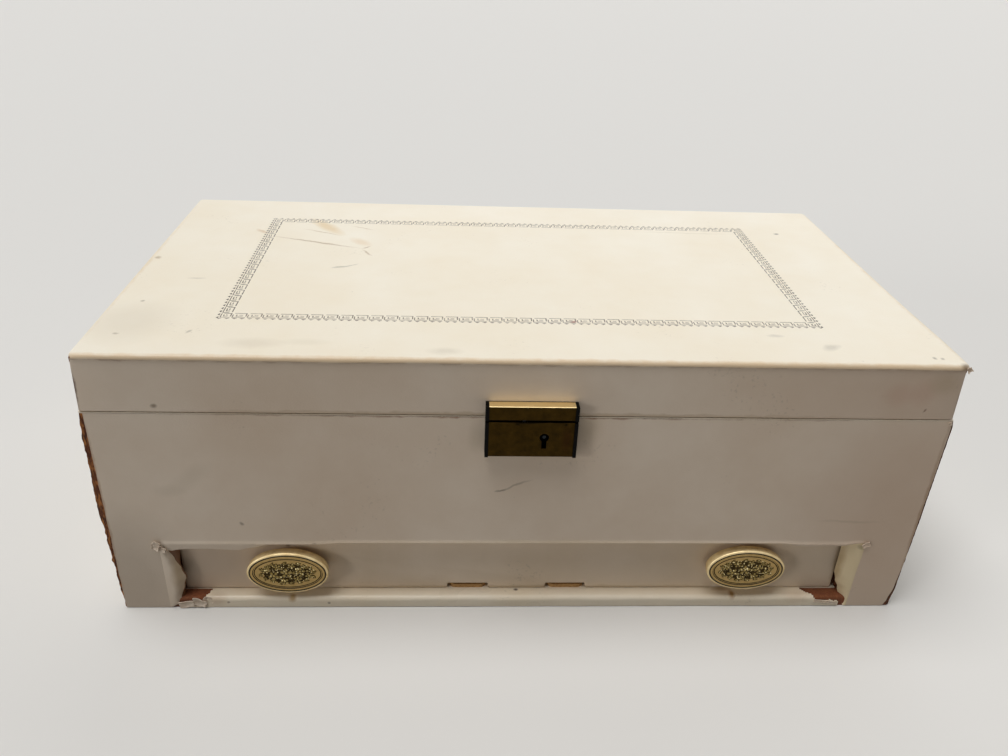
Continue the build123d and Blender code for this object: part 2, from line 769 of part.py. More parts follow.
# Back rim of the lid, seated for the hinge leaves
with BuildPart() as lid_back_rim:
    with BuildSketch(Plane.XY.offset(lid_board_bottom)):
        with Locations((0, (inner_y + board_y) / 2)):
            Rectangle(2 * inner_x, wall)
    extrude(amount=lid_panel_bottom - lid_board_bottom)
    with BuildSketch(Plane.XY.offset(lid_bottom)):
        with Locations(*hinge_edges):
            Rectangle(hinge_length, 2 * hinge_leaf_reach)
    extrude(amount=hinge_leaf, mode=Mode.SUBTRACT)
    with Locations(*[(x, y, lid_bottom) for x, y in hinge_screws_at]):
        Cylinder(screw_radius, screw_length, align=above, mode=Mode.SUBTRACT)
finish(lid_back_rim, "lid_back_rim")

# Side rims of the lid, bored for the rivets of the tray's brackets
with BuildPart() as lid_side_rims:
    with BuildSketch(Plane.XY.offset(lid_board_bottom)):
        with Locations(((inner_x + board_x) / 2, 0)):
            Rectangle(wall, 2 * board_y)
    extrude(amount=lid_panel_bottom - lid_board_bottom)
    with BuildSketch(Plane.YZ.offset(inner_x)):
        with Locations(*bracket_rivets_at):
            Circle(bracket_rivet_radius)
    extrude(amount=bracket_rivet_bite, mode=Mode.SUBTRACT)
    mirror(about=Plane.YZ)
finish(lid_side_rims, "lid_side_rims")

# Hardboard top of the lid, and the vinyl rolled over its edge
with BuildPart() as lid_top_panel:
    with BuildSketch(Plane.XY.offset(lid_panel_bottom)):
        Rectangle(2 * (board_x + lid_overhang), 2 * (board_y + lid_overhang))
    extrude(amount=lid_panel_thickness)
    fillet(lid_top_panel.edges().group_by(Axis.Z)[-1], lid_edge_radius - skin)
finish(lid_top_panel, "lid_top_panel")

with BuildPart() as lid_top_covering:
    with BuildSketch(Plane.XY.offset(lid_panel_bottom)):
        Rectangle(chest_width + 2 * lid_overhang, chest_depth + 2 * lid_overhang)
    extrude(amount=lid_panel_thickness + skin)
    fillet(lid_top_covering.edges().group_by(Axis.Z)[-1], lid_edge_radius)
    add(lid_top_panel.part, mode=Mode.SUBTRACT)
finish(lid_top_covering, "lid_top_covering")

# Vinyl round the outside of the lid's rims
with BuildPart() as lid_side_covering:
    with BuildSketch(Plane.XY.offset(lid_board_bottom)):
        Rectangle(chest_width, chest_depth)
        Rectangle(2 * board_x, 2 * board_y, mode=Mode.SUBTRACT)
    extrude(amount=lid_panel_bottom - lid_board_bottom)
    with BuildSketch(Plane.XY.offset(lid_bottom)):
        with Locations(*hinge_edges):
            Rectangle(hinge_length, 2 * hinge_leaf_reach)
    extrude(amount=hinge_leaf, mode=Mode.SUBTRACT)
    with BuildSketch(Plane.XZ.offset(-front)):
        with Locations(*hasp_rivets_at):
            Circle(rivet_radius)
    extrude(amount=-skin, mode=Mode.SUBTRACT)
finish(lid_side_covering, "lid_side_covering")

# Vinyl turned over the lower edges of the lid's rims
with BuildPart() as lid_rim_binding:
    with BuildSketch(Plane.XY.offset(lid_bottom)):
        Rectangle(chest_width, chest_depth)
        Rectangle(2 * inner_x, 2 * inner_y, mode=Mode.SUBTRACT)
        with Locations(*hinge_edges):
            Rectangle(hinge_length, 2 * hinge_leaf_reach, mode=Mode.SUBTRACT)
    extrude(amount=skin)
finish(lid_rim_binding, "lid_rim_binding")

# Flocked lining on the inner faces of the rims
with BuildPart() as lid_wall_lining:
    with BuildSketch(Plane.XY.offset(lid_board_bottom)):
        Rectangle(2 * inner_x, 2 * inner_y)
        Rectangle(2 * lid_lined_x, 2 * lid_lined_y, mode=Mode.SUBTRACT)
    extrude(amount=lid_panel_bottom - lid_board_bottom)
    for side in (-1, 1):
        with BuildSketch(Plane.YZ.offset(side * inner_x)):
            with Locations(*bracket_rivets_at):
                Circle(bracket_rivet_radius)
        extrude(amount=-side * lid_lining, mode=Mode.SUBTRACT)
finish(lid_wall_lining, "lid_wall_lining")

# Padded board under the top, and the bevelled mirror glued to it
with BuildPart() as lid_pad:
    with BuildSketch(Plane.XY.offset(lid_pad_bottom)):
        Rectangle(2 * lid_lined_x, 2 * lid_lined_y)
    extrude(amount=lid_pad_thickness)
finish(lid_pad, "lid_pad")

with BuildPart() as mirror_glass:
    with BuildSketch(Plane.XY.offset(lid_pad_bottom)):
        Rectangle(2 * (lid_lined_x - mirror_side_margin), 2 * (lid_lined_y - mirror_end_margin))
    extrude(amount=-mirror_thickness)
    chamfer(mirror_glass.edges().group_by(Axis.Z)[0], mirror_bevel)
finish(mirror_glass, "mirror_glass")

# Brackets that hang from the side rims to the tray's rear pins, and their rivets
with BuildPart() as lid_brackets:
    with BuildSketch(Plane.YZ.offset(bracket_x)):
        with BuildLine():
            eye = CenterArc(bracket_pivot, arm_half_width, -180, 180)
            Polyline(
                eye @ 1,
                (foot_right, foot_bottom),
                (foot_right, foot_top),
                (foot_left, foot_top),
                (foot_left, foot_bottom),
                eye @ 0,
            )
        make_face()
        with Locations(bracket_pivot):
            Circle(pivot_radius + pivot_clearance, mode=Mode.SUBTRACT)
        with Locations(*bracket_rivets_at):
            Circle(bracket_rivet_radius, mode=Mode.SUBTRACT)
    extrude(amount=-arm_thickness)
    mirror(about=Plane.YZ)
finish(lid_brackets, "lid_brackets")

with BuildPart() as bracket_rivets:
    with BuildSketch(Plane.YZ.offset(inner_x + bracket_rivet_bite)):
        with Locations(*bracket_rivets_at):
            Circle(bracket_rivet_radius)
    extrude(amount=bracket_inside - inner_x - bracket_rivet_bite)
    with BuildSketch(Plane.YZ.offset(bracket_inside)):
        with Locations(*bracket_rivets_at):
            Circle(rivet_head_radius)
    extrude(amount=-stud_head)
    mirror(about=Plane.YZ)
finish(bracket_rivets, "bracket_rivets")

# Tray walls: two long ones, and two ends bored for the pins
with BuildPart() as tray_long_walls:
    with BuildSketch(Plane.XY.offset(tray_underside)):
        with Locations((0, tray_front + tray_wall / 2), (0, tray_back - tray_wall / 2)):
            Rectangle(2 * tray_x, tray_wall)
    extrude(amount=tray_height)
finish(tray_long_walls, "tray_long_walls")

with BuildPart() as tray_end_walls:
    with BuildSketch(Plane.XY.offset(tray_underside)):
        with Locations((tray_x - tray_wall / 2, tray_middle)):
            Rectangle(tray_wall, tray_inner_depth)
    extrude(amount=tray_height)
    with BuildSketch(Plane.YZ.offset(tray_x)):
        with Locations(bracket_pivot, tray_pivot):
            Circle(pivot_radius)
    extrude(amount=-pin_bite, mode=Mode.SUBTRACT)
    mirror(about=Plane.YZ)
finish(tray_end_walls, "tray_end_walls")

with BuildPart() as tray_floor:
    with BuildSketch(Plane.XY.offset(tray_underside)):
        with Locations((0, tray_middle)):
            Rectangle(2 * tray_inner_x, tray_inner_depth)
    extrude(amount=tray_bottom_thickness)
finish(tray_floor, "tray_floor")

# Tray dividers: two beside the ring rolls, and one across each side bay
with BuildPart() as tray_dividers:
    with BuildSketch(Plane.XY.offset(tray_floor_top)):
        with Locations((-tray_divider_x, tray_middle), (tray_divider_x, tray_middle)):
            Rectangle(tray_divider, tray_inner_depth)
        bay_x = tray_inner_x - side_bay / 2
        with Locations((-bay_x, tray_middle), (bay_x, tray_middle)):
            Rectangle(side_bay, tray_divider)
    extrude(amount=tray_top - tray_divider_drop - tray_floor_top)
finish(tray_dividers, "tray_dividers")

# Padded rolls with round tops that grip rings between them
with BuildPart() as ring_rolls:
    with BuildSketch(Plane.YZ.offset(-tray_centre_bay / 2)):
        for roll in range(roll_count):
            roll_y = tray_front + tray_wall + (roll + 0.5) * roll_pitch
            with Locations((roll_y, tray_floor_top + (roll_height - roll_radius) / 2)):
                Rectangle(2 * roll_radius, roll_height - roll_radius)
            with Locations((roll_y, tray_floor_top + roll_height - roll_radius)):
                Circle(roll_radius)
    extrude(amount=tray_centre_bay)
finish(ring_rolls, "ring_rolls")

# Collared pins on the tray's ends: the front pair in the arms, the rear pair in the brackets
with BuildPart() as tray_pins:
    for place, plate_outside in ((tray_pivot, arm_x), (bracket_pivot, bracket_x)):
        with BuildSketch(Plane.YZ.offset(tray_x - pin_bite)):
            with Locations(place):
                Circle(pivot_radius)
        extrude(amount=plate_outside + side_play - tray_x + pin_bite)
        with BuildSketch(Plane.YZ.offset(tray_x)):
            with Locations(place):
                Circle(stud_head_radius)
        extrude(amount=plate_outside - arm_thickness - side_play - tray_x)
    mirror(about=Plane.YZ)
finish(tray_pins, "tray_pins")

# Drawer front and the vinyl on its face, both notched below to pass over the guide strips
for name, amount in (("drawer_front", -drawer_front_thickness), ("drawer_front_covering", skin)):
    with BuildPart() as sheet:
        with BuildSketch(Plane.XZ.offset(-drawer_board_face)):
            with Locations((0, drawer_underside + drawer_height / 2)):
                Rectangle(drawer_width, drawer_height)
            with Locations(*notch_places):
                Rectangle(notch_width, 2 * notch_height, mode=Mode.SUBTRACT)
            with Locations(*knob_places):
                Circle(knob_screw_radius, mode=Mode.SUBTRACT)
        extrude(amount=amount)
    finish(sheet, name)

# Drawer box behind the front
with BuildPart() as drawer_sides:
    with BuildSketch(Plane.XY.offset(drawer_underside)):
        side_middle = (drawer_front_back + drawer_rear) / 2
        side_x = drawer_x - drawer_wall / 2
        with Locations((-side_x, side_middle), (side_x, side_middle)):
            Rectangle(drawer_wall, drawer_rear - drawer_front_back)
    extrude(amount=drawer_wall_top - drawer_underside)
finish(drawer_sides, "drawer_sides")

with BuildPart() as drawer_back:
    with BuildSketch(Plane.XY.offset(drawer_bottom_height)):
        with Locations((0, drawer_rear - drawer_wall / 2)):
            Rectangle(drawer_inner_width, drawer_wall)
    extrude(amount=drawer_wall_top - drawer_bottom_height)
finish(drawer_back, "drawer_back")

for name, height, thickness in (
    ("drawer_bottom", drawer_bottom_height, drawer_bottom_thickness),
    ("drawer_pad", drawer_floor, drawer_pad_thickness),
):
    with BuildPart() as sheet:
        with BuildSketch(Plane.XY.offset(height)):
            with Locations((0, drawer_inner_middle)):
                Rectangle(drawer_inner_width, drawer_inner_depth)
        extrude(amount=thickness)
    finish(sheet, name)

with BuildPart() as drawer_dividers:
    with BuildSketch(Plane.XY.offset(drawer_pad_top)):
        divider_x = drawer_divider_spacing / 2
        with Locations((-divider_x, drawer_inner_middle), (divider_x, drawer_inner_middle)):
            Rectangle(drawer_divider, drawer_inner_depth)
    extrude(amount=drawer_wall_top - drawer_divider_drop - drawer_pad_top)
finish(drawer_dividers, "drawer_dividers")

# Oval knobs with a sunk face
with BuildPart() as knobs:
    with BuildSketch(Plane.XZ.offset(-knob_back)):
        with Locations(*knob_places):
            Ellipse(knob_width / 2, knob_height / 2)
    extrude(amount=knob_thickness)
    fillet(knobs.edges().group_by(Axis.Y)[0], knob_front_radius)
    fillet(knobs.edges().group_by(Axis.Y)[-1], knob_back_radius)
    with BuildSketch(Plane.XZ.offset(-knob_floor)):
        with Locations(*knob_places):
            Ellipse(knob_width / 2 - knob_face_rim, knob_height / 2 - knob_face_rim)
    extrude(amount=knob_face_depth, mode=Mode.SUBTRACT)
    with BuildSketch(Plane.XZ.offset(-drawer_face)):
        with Locations(*knob_places):
            Circle(knob_stem_radius)
    extrude(amount=knob_stem_length)
    with BuildSketch(Plane.XZ.offset(-drawer_face)):
        with Locations(*knob_places):
            Circle(knob_screw_radius)
    extrude(amount=knob_screw_bite, mode=Mode.SUBTRACT)
finish(knobs, "knobs")

# Medallions that fill the knobs' faces
with BuildPart() as knob_medallions:
    with BuildSketch(Plane.XZ.offset(-knob_floor)):
        medallion_inset = knob_face_rim + medallion_gap
        with Locations(*knob_places):
            Ellipse(knob_width / 2 - medallion_inset, knob_height / 2 - medallion_inset)
    extrude(amount=medallion_thickness)
    fillet(knob_medallions.edges().group_by(Axis.Y)[0], medallion_thickness / 2)
finish(knob_medallions, "knob_medallions")

# Screws that hold the knobs from inside the drawer
with BuildPart() as knob_screws:
    with BuildSketch(Plane.XZ.offset(-drawer_front_back)):
        with Locations(*knob_places):
            Circle(knob_screw_radius)
    extrude(amount=drawer_front_thickness + skin + knob_screw_bite)
    with BuildSketch(Plane.XZ.offset(-drawer_front_back)):
        with Locations(*knob_places):
            Circle(knob_screw_head_radius)
    extrude(amount=-knob_screw_head)
finish(knob_screws, "knob_screws")
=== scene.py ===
"""Looks of a vinyl-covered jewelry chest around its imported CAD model, in metres."""

import math

import bmesh
import bpy
from mathutils import Matrix, Vector, noise


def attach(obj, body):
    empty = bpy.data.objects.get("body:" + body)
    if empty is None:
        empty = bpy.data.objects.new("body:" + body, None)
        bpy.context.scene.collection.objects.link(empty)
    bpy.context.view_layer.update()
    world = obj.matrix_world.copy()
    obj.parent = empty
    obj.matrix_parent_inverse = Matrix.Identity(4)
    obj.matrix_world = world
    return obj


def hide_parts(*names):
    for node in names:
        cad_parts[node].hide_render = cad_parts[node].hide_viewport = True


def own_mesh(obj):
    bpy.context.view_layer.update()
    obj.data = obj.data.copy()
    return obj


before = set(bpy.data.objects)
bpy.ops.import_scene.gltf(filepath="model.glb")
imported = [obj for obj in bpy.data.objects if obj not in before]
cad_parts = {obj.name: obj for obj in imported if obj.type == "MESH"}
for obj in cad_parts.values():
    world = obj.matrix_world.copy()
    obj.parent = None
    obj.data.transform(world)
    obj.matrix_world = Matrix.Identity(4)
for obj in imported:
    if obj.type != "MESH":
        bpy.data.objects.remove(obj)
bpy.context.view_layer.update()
bpy.ops.object.select_all(action="DESELECT")
bpy.context.scene.view_settings.view_transform = "Standard"

# The camera stands a little left of the middle and looks down on the lid, as in the photograph.
# Its lens and place were fitted to the chest's own edges.
mm = 0.001
photo_width, focal_pixels, sensor_width = 1008, 864.7, 36
yaw, pitch, roll = math.radians(3.70), math.radians(28.93), math.radians(2.50)
bpy.ops.object.camera_add(location=(-32.0 * mm, -425.2 * mm, 308.2 * mm))
camera = bpy.context.object
camera.rotation_mode = "QUATERNION"
camera.rotation_quaternion = (
    Matrix.Rotation(-yaw, 3, "Z")
    @ Matrix.Rotation(math.pi / 2 - pitch, 3, "X")
    @ Matrix.Rotation(roll, 3, "Z")
).to_quaternion()
camera.data.sensor_width = sensor_width
camera.data.lens = focal_pixels / photo_width * sensor_width
camera.data.clip_start = 0.01
bpy.context.scene.camera = camera


# Fibreboard: brown wood pulp pressed into board, cut for the walls, the base and the shelf.
# The cut or torn edges are a warmer orange than the faces, with short fibres and darker streaks.
def colour(code):
    """A hex sRGB colour as the linear values that a shader takes."""
    parts = [int(code[i : i + 2], 16) / 255 for i in (1, 3, 5)]
    return [c / 12.92 if c <= 0.04045 else ((c + 0.055) / 1.055) ** 2.4 for c in parts] + [1]


def wire(tree, node, inputs):
    """Sets a node's inputs, each to a value, a hex colour or the output that it is linked to."""
    for key, value in inputs.items():
        if isinstance(value, bpy.types.NodeSocket):
            tree.links.new(value, node.inputs[key])
        else:
            node.inputs[key].default_value = colour(value) if isinstance(value, str) else value


def add(tree, kind, inputs=None, out=0, **settings):
    """Adds a shader node with its settings and inputs, and gives one of its outputs."""
    made = tree.nodes.new("ShaderNode" + kind)
    for key, value in settings.items():
        setattr(made, key, value)
    wire(tree, made, inputs or {})
    return made.outputs[out] if made.outputs else None


def material(name):
    """A new material with its shader, and the object's own coordinates in metres."""
    made = bpy.data.materials.new(name)
    made.use_nodes = True
    tree = made.node_tree
    tree.nodes.clear()
    shown = add(tree, "BsdfPrincipled")
    add(tree, "OutputMaterial", {"Surface": shown})
    return made, tree, shown.node, add(tree, "TexCoord", out="Object")


def mottled(tree, place, scale, detail, first, second, low=0, high=1, most=1, grit=0.5, **blend):
    """Two tones in the patches of a noise, the second one where the noise goes from low to high.
    Gives the tone, and the noise for a relief or a shine that follows it."""
    inputs = {"Vector": place, "Scale": scale, "Detail": detail, "Roughness": grit}
    patches = add(tree, "TexNoise", inputs)
    share = add(tree, "MapRange", {0: patches, 1: low, 2: high, 4: most})
    tone = add(tree, "Mix", {0: share, 6: first, 7: second}, 2, data_type="RGBA", **blend)
    return tone, patches


def surface(tree, shader, tone, roughness, metallic=0, relief=None, strength=0, depth=0):
    """Gives the shader its tone, its roughness and a relief of up to depth mm."""
    inputs = {"Base Color": tone, "Roughness": roughness, "Metallic": metallic}
    if relief:
        raised = {"Strength": strength, "Distance": depth * mm, "Height": relief}
        inputs["Normal"] = add(tree, "Bump", raised)
    wire(tree, shader, inputs)


def dress(finish, *nodes):
    """Gives CAD nodes their material."""
    for node in nodes:
        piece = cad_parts[node]
        piece.data.materials.clear()
        piece.data.materials.append(finish)


# Pressed pulp: a matt, patchy brown that reads as cheap board and not as wood
fibreboard, tree, shader, place = material("pressed_fibreboard")
stretched = add(tree, "Mapping", {"Vector": place, "Scale": (1, 1, 0.25)})
tone, _ = mottled(tree, place, 130, 3, "#6b4022", "#a8673a")
tone, fibres = mottled(tree, stretched, 900, 4, tone, "#3a2415", blend_type="SOFT_LIGHT")
surface(tree, shader, tone, 0.85, 0, fibres, 0.5, 0.4)
walls = ("front_panel", "left_side_panel", "right_side_panel", "back_panel")
rims = ("lid_front_rim", "lid_back_rim", "lid_side_rims")
flat_boards = ("base_board", "drawer_bay_cheeks", "shelf_board", "lid_top_panel", "drawer_bottom")
dress(fibreboard, *walls, *rims, *flat_boards)


# Vinyl-coated paper: a thin cream skin pressed with a fine grain, glued over the boards.
# It has yellowed in broad patches, gathered grey specks, and ripples a little where the glue let go.
front_y = -104


def stained_and_shaded(tree, tone, place, stains_and_shade, axis=1, level=front_y):
    """Lays stain marks, scratches and painted shade over a tone. Each has its middle and half sizes in
    mm, its colour, its strength and, where it is turned, its angle about the axis in degrees. A middle
    of two values lies at level mm along the axis, and two half sizes reach 3 mm along it."""
    for middle, half, code, strength, *turn in stains_and_shade:
        middle, half, angles = list(middle), list(half), [0, 0, 0]
        if len(middle) == 2:
            middle.insert(axis, level)
        if len(half) == 2:
            half.insert(axis, 3)
        if turn:
            angles[axis] = math.radians(turn[0])
        inputs = {"Vector": place, "Location": [c * mm for c in middle], "Rotation": angles}
        inputs["Scale"] = [c * mm for c in half]
        spot = add(tree, "Mapping", inputs, vector_type="TEXTURE")
        fall = add(tree, "TexGradient", {"Vector": spot}, "Fac", gradient_type="SPHERICAL")
        shown = add(tree, "MapRange", {0: fall, 2: 0.7, 4: strength})
        tone = add(tree, "Mix", {0: shown, 6: tone, 7: code}, 2, data_type="RGBA")
    return tone


def unsteady(tree, place, reach):
    """The place, pushed about by up to reach mm, so that what is laid there has ragged edges."""
    push = add(tree, "TexNoise", {"Vector": place, "Scale": 170, "Detail": 3}, "Color")
    centred = add(tree, "VectorMath", {0: push, 1: (0.5, 0.5, 0.5)}, operation="SUBTRACT")
    scaled = add(tree, "VectorMath", {0: centred, "Scale": 2 * reach * mm}, operation="SCALE")
    return add(tree, "VectorMath", {0: place, 1: scaled}, operation="ADD")


def vinyl(name, tones, ragged=1, stains_and_shade=(), shine=(0.36, 0.52), printed=None, **plane):
    """Cream vinyl in its light and aged tones, with stain marks and painted shade whose edges stray by
    up to ragged mm.
    Shine is its least and most roughness, and printed lays a pattern that is pressed in."""
    made, tree, shader, place = material(name)
    tone, _ = mottled(tree, place, 16, 5, *tones, 0.3, 0.72, grit=0.6)
    # Grey specks about 0.7 mm across, in loose patches
    dust = add(tree, "TexNoise", {"Vector": place, "Scale": 640, "Detail": 1})
    where = add(tree, "TexNoise", {"Vector": place, "Scale": 34, "Detail": 2})
    gathered = add(tree, "Math", {0: dust, 1: where}, operation="MULTIPLY")
    shown = add(tree, "MapRange", {0: gathered, 1: 0.42, 2: 0.54, 4: 0.22})
    tone = add(tree, "Mix", {0: shown, 6: tone, 7: "#8d8172"}, 2, data_type="RGBA")
    tone = stained_and_shaded(tree, tone, unsteady(tree, place, ragged), stains_and_shade, **plane)
    # The real grain is 0.4 mm; it is drawn at 0.9 mm so that it shows
    grain = add(tree, "TexNoise", {"Vector": place, "Scale": 1100, "Detail": 2})
    ripple = add(tree, "TexNoise", {"Vector": place, "Scale": 26, "Detail": 2})
    soft = add(tree, "Bump", {"Strength": 0.25, "Distance": 0.001, "Height": ripple})
    raised = add(tree, "Bump", {"Strength": 0.22, "Distance": 0.0003, "Height": grain, "Normal": soft})
    if printed:
        tone, mark = printed(tree, place, tone)
        pressed = {"Strength": 0.5, "Distance": 0.0002, "Height": mark, "Normal": raised}
        raised = add(tree, "Bump", pressed, invert=True)
    gloss = add(tree, "MapRange", {0: ripple, 3: shine[0], 4: shine[1]})
    surface(tree, shader, tone, gloss)
    wire(tree, shader, {"Normal": raised, "IOR": 1.5, "Specular IOR Level": 0.4})
    return made


# The rail under the drawer: the bay floor's vinyl, rolled over the base board's front edge.
# Both its ends are torn off the board, and two drops of old glue sit below the knobs.
def steps(start, *stretches):
    """Values from start on. A stretch is a count of even steps, and the value where it ends."""
    values = []
    for count, end in zip(stretches[::2], stretches[1::2]):
        values += [start + (end - start) * k / count for k in range(count)]
        start = end
    return values + [start]


def wander(along, pace, lane):
    """A smooth unevenness from -1 to 1 that changes over about pace mm."""
    return noise.noise(Vector((along / pace, lane * 7.3, 0.5)))


def pick(*pieces):
    """Selects the pieces alone and makes the first one active."""
    bpy.ops.object.select_all(action="DESELECT")
    for piece in pieces:
        piece.select_set(True)
    bpy.context.view_layer.objects.active = pieces[0]


def primitive(name, kind, **settings):
    """Makes a primitive, with its place in its mesh, and names it."""
    bpy.ops.object.select_all(action="DESELECT")
    getattr(bpy.ops.mesh, f"primitive_{kind}_add")(**settings)
    piece = bpy.context.object
    piece.name = name
    bpy.ops.object.transform_apply(location=True, rotation=True, scale=True)
    return piece


def sheet(name, across, along, place_of):
    """A grid primitive with a line for each value of across and along, laid where place_of says."""
    columns, rows = len(across) - 1, len(along) - 1
    piece = primitive(name, "grid", x_subdivisions=columns, y_subdivisions=rows, size=1)
    for vertex in piece.data.vertices:
        column, row = round((vertex.co.x + 0.5) * columns), round((vertex.co.y + 0.5) * rows)
        vertex.co = Vector(place_of(across[column], along[row])) * mm
    return piece


def select(piece, kind, wanted):
    """In edit mode, selects the faces, edges or points whose middle, in mm, and normal pass the test.
    An edge is tested by its middle and its run from end to end."""
    bpy.context.view_layer.objects.active = piece
    bpy.ops.object.mode_set(mode="EDIT")
    bpy.ops.mesh.select_mode(type=kind)
    bpy.ops.mesh.select_all(action="DESELECT")
    shape = bmesh.from_edit_mesh(piece.data)
    if kind == "FACE":
        found = [f for f in shape.faces if wanted(f.calc_center_median() / mm, f.normal)]
    elif kind == "EDGE":
        ends = [(e, e.verts[0].co, e.verts[1].co) for e in shape.edges]
        found = [e for e, a, b in ends if wanted((a + b) / 2 / mm, b - a)]
    else:
        found = [v for v in shape.verts if wanted(v.co / mm, v.normal)]
    for part in found:
        part.select_set(True)
    shape.select_flush_mode()
    bmesh.update_edit_mesh(piece.data)


def leave_edit():
    bpy.ops.object.mode_set(mode="OBJECT")


def edit(piece, kind, wanted, operator, **settings):
    """Runs a mesh operator on what select() finds."""
    select(piece, kind, wanted)
    getattr(bpy.ops.mesh, operator)(**settings)
    leave_edit()


def take_off(piece, wanted):
    """Removes the faces that pass the test."""
    edit(piece, "FACE", wanted, "delete", type="FACE")


def rounded(piece, wanted, width, segments):
    """Bevels the edges that pass the test, by width in mm."""
    edit(piece, "EDGE", wanted, "bevel", offset=width * mm, segments=segments, affect="EDGES")


def apply(piece, kind, **settings):
    """Adds a modifier to the piece and applies it."""
    bpy.context.view_layer.objects.active = piece
    made = piece.modifiers.new(kind.lower(), kind)
    for key, value in settings.items():
        setattr(made, key, value)
    bpy.ops.object.modifier_apply(modifier=made.name)


def thicken(piece, thickness=0.5):
    """Gives a sheet its thickness in mm, away from its face."""
    apply(piece, "SOLIDIFY", thickness=thickness * mm, offset=-1)


def fit(piece, finishes, *nodes, body="case", slot="cream_vinyl"):
    """Smooths a finished piece, gives it its materials and lets it ride in place of its CAD nodes."""
    pick(piece)
    bpy.ops.object.shade_smooth_by_angle(angle=math.radians(40))
    for finish in finishes:
        piece.data.materials.append(finish)
    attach(piece, body)
    if nodes:
        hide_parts(*nodes)


# Torn backing paper: a paler, furry white where the vinyl's face is gone, soiled in patches
torn_paper, tree, shader, place = material("torn_paper_backing")
pulp = add(tree, "TexNoise", {"Vector": place, "Scale": 1500, "Detail": 4})
tone, _ = mottled(tree, place, 320, 2, "#f2e7d6", "#bfa389")
surface(tree, shader, tone, 0.9, 0, pulp, 0.6, 0.3)

# The rail's vinyl: rubbed by hands, so lighter and glossier than the walls, with amber glue drops
rail_stains = (
    ((-110.2, -103.4, 5.8), (2.4, 3.4, 3), "#b08a4c", 0.8),
    ((108.4, -101.6, 6.1), (2.2, 3.6, 3), "#a97c3c", 0.85),
    ((104, -98.3, 6.4), (6, 2, 1.4), "#a58255", 0.6),
    ((-0.3, -98.6, 6.3), (1.6, 1.1, 1), "#4a372a", 0.9),
    ((-141, -104.2, 3.4), (1, 1, 0.9), "#6d5a48", 0.7),
    ((-92.6, -104.2, 2.9), (1.2, 1, 1), "#6d5a48", 0.8),
    ((-146, -103, 4.5), (6, 4, 4.5), "#b89878", 0.4),
    ((142, -102, 5), (9, 4, 4.5), "#c2a487", 0.4),
)
rail_vinyl = vinyl("vinyl_on_rail", ("#f1e5d0", "#e5d4b8"), 0.8, rail_stains, shine=(0.22, 0.36))

# The sheet's section, from its lower edge up, over the rounded edge and back under the drawer
rail_end, rail_radius, rail_top, rail_back = 163.6, 2.2, 6.3, 95.3
rail_line = [(front_y, z) for z in steps(0.35, 6, rail_top - rail_radius)[:-1]]
rail_line += [
    (front_y + rail_radius * (1 - math.cos(a)), rail_top - rail_radius * (1 - math.sin(a)))
    for a in steps(0, 7, math.pi / 2)[:-1]
]
rail_line += [(y, rail_top) for y in steps(front_y + rail_radius, 6, -97.2, 40, rail_back)]
in_front_of_drawer = -97.5


def rail_place(x, k):
    """The section's point k, a little uneven along the rail where it is in sight."""
    y, z = rail_line[k]
    return (
        x,
        y - 0.12 * wander(x, 14, k // 4) * (y < in_front_of_drawer),
        z + 0.10 * wander(x, 9, 3) * (front_y + 0.1 < y < in_front_of_drawer),
    )


def torn_off(c, n):
    """Where the rail's vinyl is missing: ragged patches at the upper left and right ends."""
    left = -152 + 2.6 * wander(c.y, 1.7, 1) + 0.5 * (c.y - front_y)
    right = 148.5 - 1.1 * (c.y + 101) + 2.2 * wander(c.y, 1.4, 5)
    gone_left = c.x < left and c.z > 2.2 + 1.4 * wander(c.x, 2.2, 2)
    gone_right = c.x > right and c.z > 3.3 + 0.9 * wander(c.x, 1.3, 6)
    return c.y < -97.3 and (gone_left or gone_right)


rail_x = steps(-rail_end, 28, -144, 142, 140, 34, rail_end)
rail = sheet("rail_vinyl", rail_x, range(len(rail_line)), rail_place)
take_off(rail, torn_off)
thicken(rail)
fit(rail, [rail_vinyl], "base_covering")


# Torn scraps: layers of the vinyl's paper backing, still glued down at the ends of the rail
# and at both top corners of the opening, crumpled and with their edges curled up.
def scrap(name, middle, size, turn, lane, curl, body="case", finish=torn_paper):
    """A crumpled scrap of torn backing paper, facing the front, with its middle and size in mm."""
    cells = 9
    piece = sheet(name, range(cells + 1), range(cells + 1), lambda i, j: (i, 0, j))
    c, s = math.cos(math.radians(turn)), math.sin(math.radians(turn))
    for vertex in piece.data.vertices:
        a, b = vertex.co.x / mm / cells * 2 - 1, vertex.co.z / mm / cells * 2 - 1
        reach = 1 + 0.35 * wander(math.atan2(b, a) * 2 + 9, 1, lane)
        px, pz = a * reach * size[0] / 2, b * reach * size[1] / 2
        lifted = curl * (0.5 * (a * a + b * b) + 0.5 * wander(a * 3 + b * 2, 1.1, lane + 4))
        height = max(0.25, middle[2] + s * px + c * pz)
        vertex.co = Vector((middle[0] + c * px - s * pz, middle[1] - lifted, height)) * mm
    apply(piece, "SUBSURF", levels=1, render_levels=1)
    apply(piece, "SOLIDIFY", thickness=0.3 * mm, offset=1)
    fit(piece, [finish], body=body)


scrap("rail_scrap_left_a", (-160.6, -103.9, 2.5), (7.5, 3.4), 8, 11, 0.7)
scrap("rail_scrap_left_b", (-154.8, -103.7, 3.5), (6.8, 4.4), -16, 23, 1)
scrap("rail_scrap_left_c", (-150.6, -103.2, 4.4), (3.8, 4.6), 30, 31, 1)
scrap("rail_scrap_right_a", (153.6, -103.8, 3.5), (6.5, 1.8), -4, 43, 0.7)
scrap("rail_scrap_right_b", (159.4, -103.9, 2.9), (5.6, 1.6), -8, 52, 0.6)


